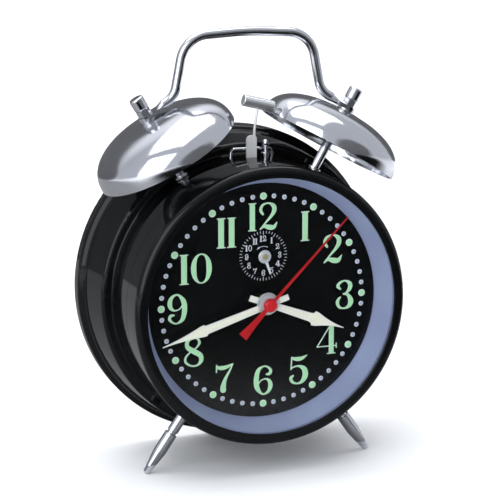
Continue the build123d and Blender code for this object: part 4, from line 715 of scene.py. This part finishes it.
for name, place, aim, width, height, dark in (
        ("front_card", (0.45, -0.9, 0.20), spindle, 1.6, 1.1, 0.12),
        ("near_floor_card", (0.22, -0.50, 0.002), Vector((0.22, -0.499, 1.0)), 1.6, 1.2, 0.004),
        ("far_floor_card", (-0.20, 0.40, 0.003), Vector((-0.20, 0.401, 1.0)), 1.3, 1.4, 0.22),
        ("back_card", (0.0, 0.62, 0.17), spindle, 3.2, 1.0, 0.10)):
    square = bpy.data.meshes.new(name)
    square.from_pydata([(-0.5, -0.5, 0), (0.5, -0.5, 0), (0.5, 0.5, 0), (-0.5, 0.5, 0)], [], [(0, 1, 2, 3)])
    square.materials.append(card_finish(name, dark))
    card = bpy.data.objects.new(name, square)
    bpy.context.scene.collection.objects.link(card)
    facing = (Vector(aim) - Vector(place)).to_track_quat("Z", "Y").to_matrix().to_4x4()
    card.matrix_world = Matrix.Translation(place) @ facing @ Matrix.Diagonal((width, height, 1, 1))
    card.visible_camera = card.visible_diffuse = card.visible_shadow = False


def soft_box(name, place, aim, width, height, power, colour=(1, 1, 1)):
    light = bpy.data.lights.new(name, "AREA")
    light.shape, light.size, light.size_y = "RECTANGLE", width, height
    light.energy, light.color = power, colour
    box = bpy.data.objects.new(name, light)
    bpy.context.scene.collection.objects.link(box)
    box.location = place
    box.rotation_mode = "QUATERNION"
    box.rotation_quaternion = (aim - box.location).to_track_quat("-Z", "Y")
    return box


soft_box("top_box", (-0.10, 0.10, 1.2), spindle, 1.4, 1.2, 9.0)
soft_box("left_box", (-0.90, -0.70, 0.50), spindle, 1.0, 1.0, 10.0, (0.94, 0.97, 1.0))
soft_box("back_box", (0.0, 0.3, 1.9), Vector((0, 1.2, 0.5)), 2.4, 0.6, 16.0)

world = bpy.data.worlds.new("studio")
bpy.context.scene.world = world
world.use_nodes = True
world.node_tree.nodes.clear()
sky = Wire(world.node_tree)
air = sky.add("Background", {}, {"Color": (0.90, 0.94, 1.0, 1), "Strength": 0.75})
sky.add("OutputWorld", {}, {"Surface": air})
bpy.context.scene.view_settings.view_transform = "Standard"


# ------------------------------------------------------------------------------------------------
# The camera stands to the left of the clock and a little above it, with a long lens.
CAMERA_TURN, CAMERA_RISE, CAMERA_DISTANCE, LENS = 19.578, 12.072, 0.67307, 131.52
AIM = Vector((-5.2246, 0.0, 19.6872)) * MM
turn, rise = radians(CAMERA_TURN), radians(CAMERA_RISE)
back = Vector((-sin(turn) * cos(rise), -cos(turn) * cos(rise), sin(rise)))
right = Vector((cos(turn), -sin(turn), 0))
up = back.cross(right)
lens = bpy.data.cameras.new("camera")
lens.lens, lens.sensor_width = LENS, 36.0
lens.clip_start, lens.clip_end = 0.05, 20
camera = bpy.data.objects.new("camera", lens)
bpy.context.scene.collection.objects.link(camera)
camera.matrix_world = Matrix.Translation(spindle + AIM + back * CAMERA_DISTANCE) @ Matrix(
    (right, up, back)).transposed().to_4x4()
bpy.context.scene.camera = camera
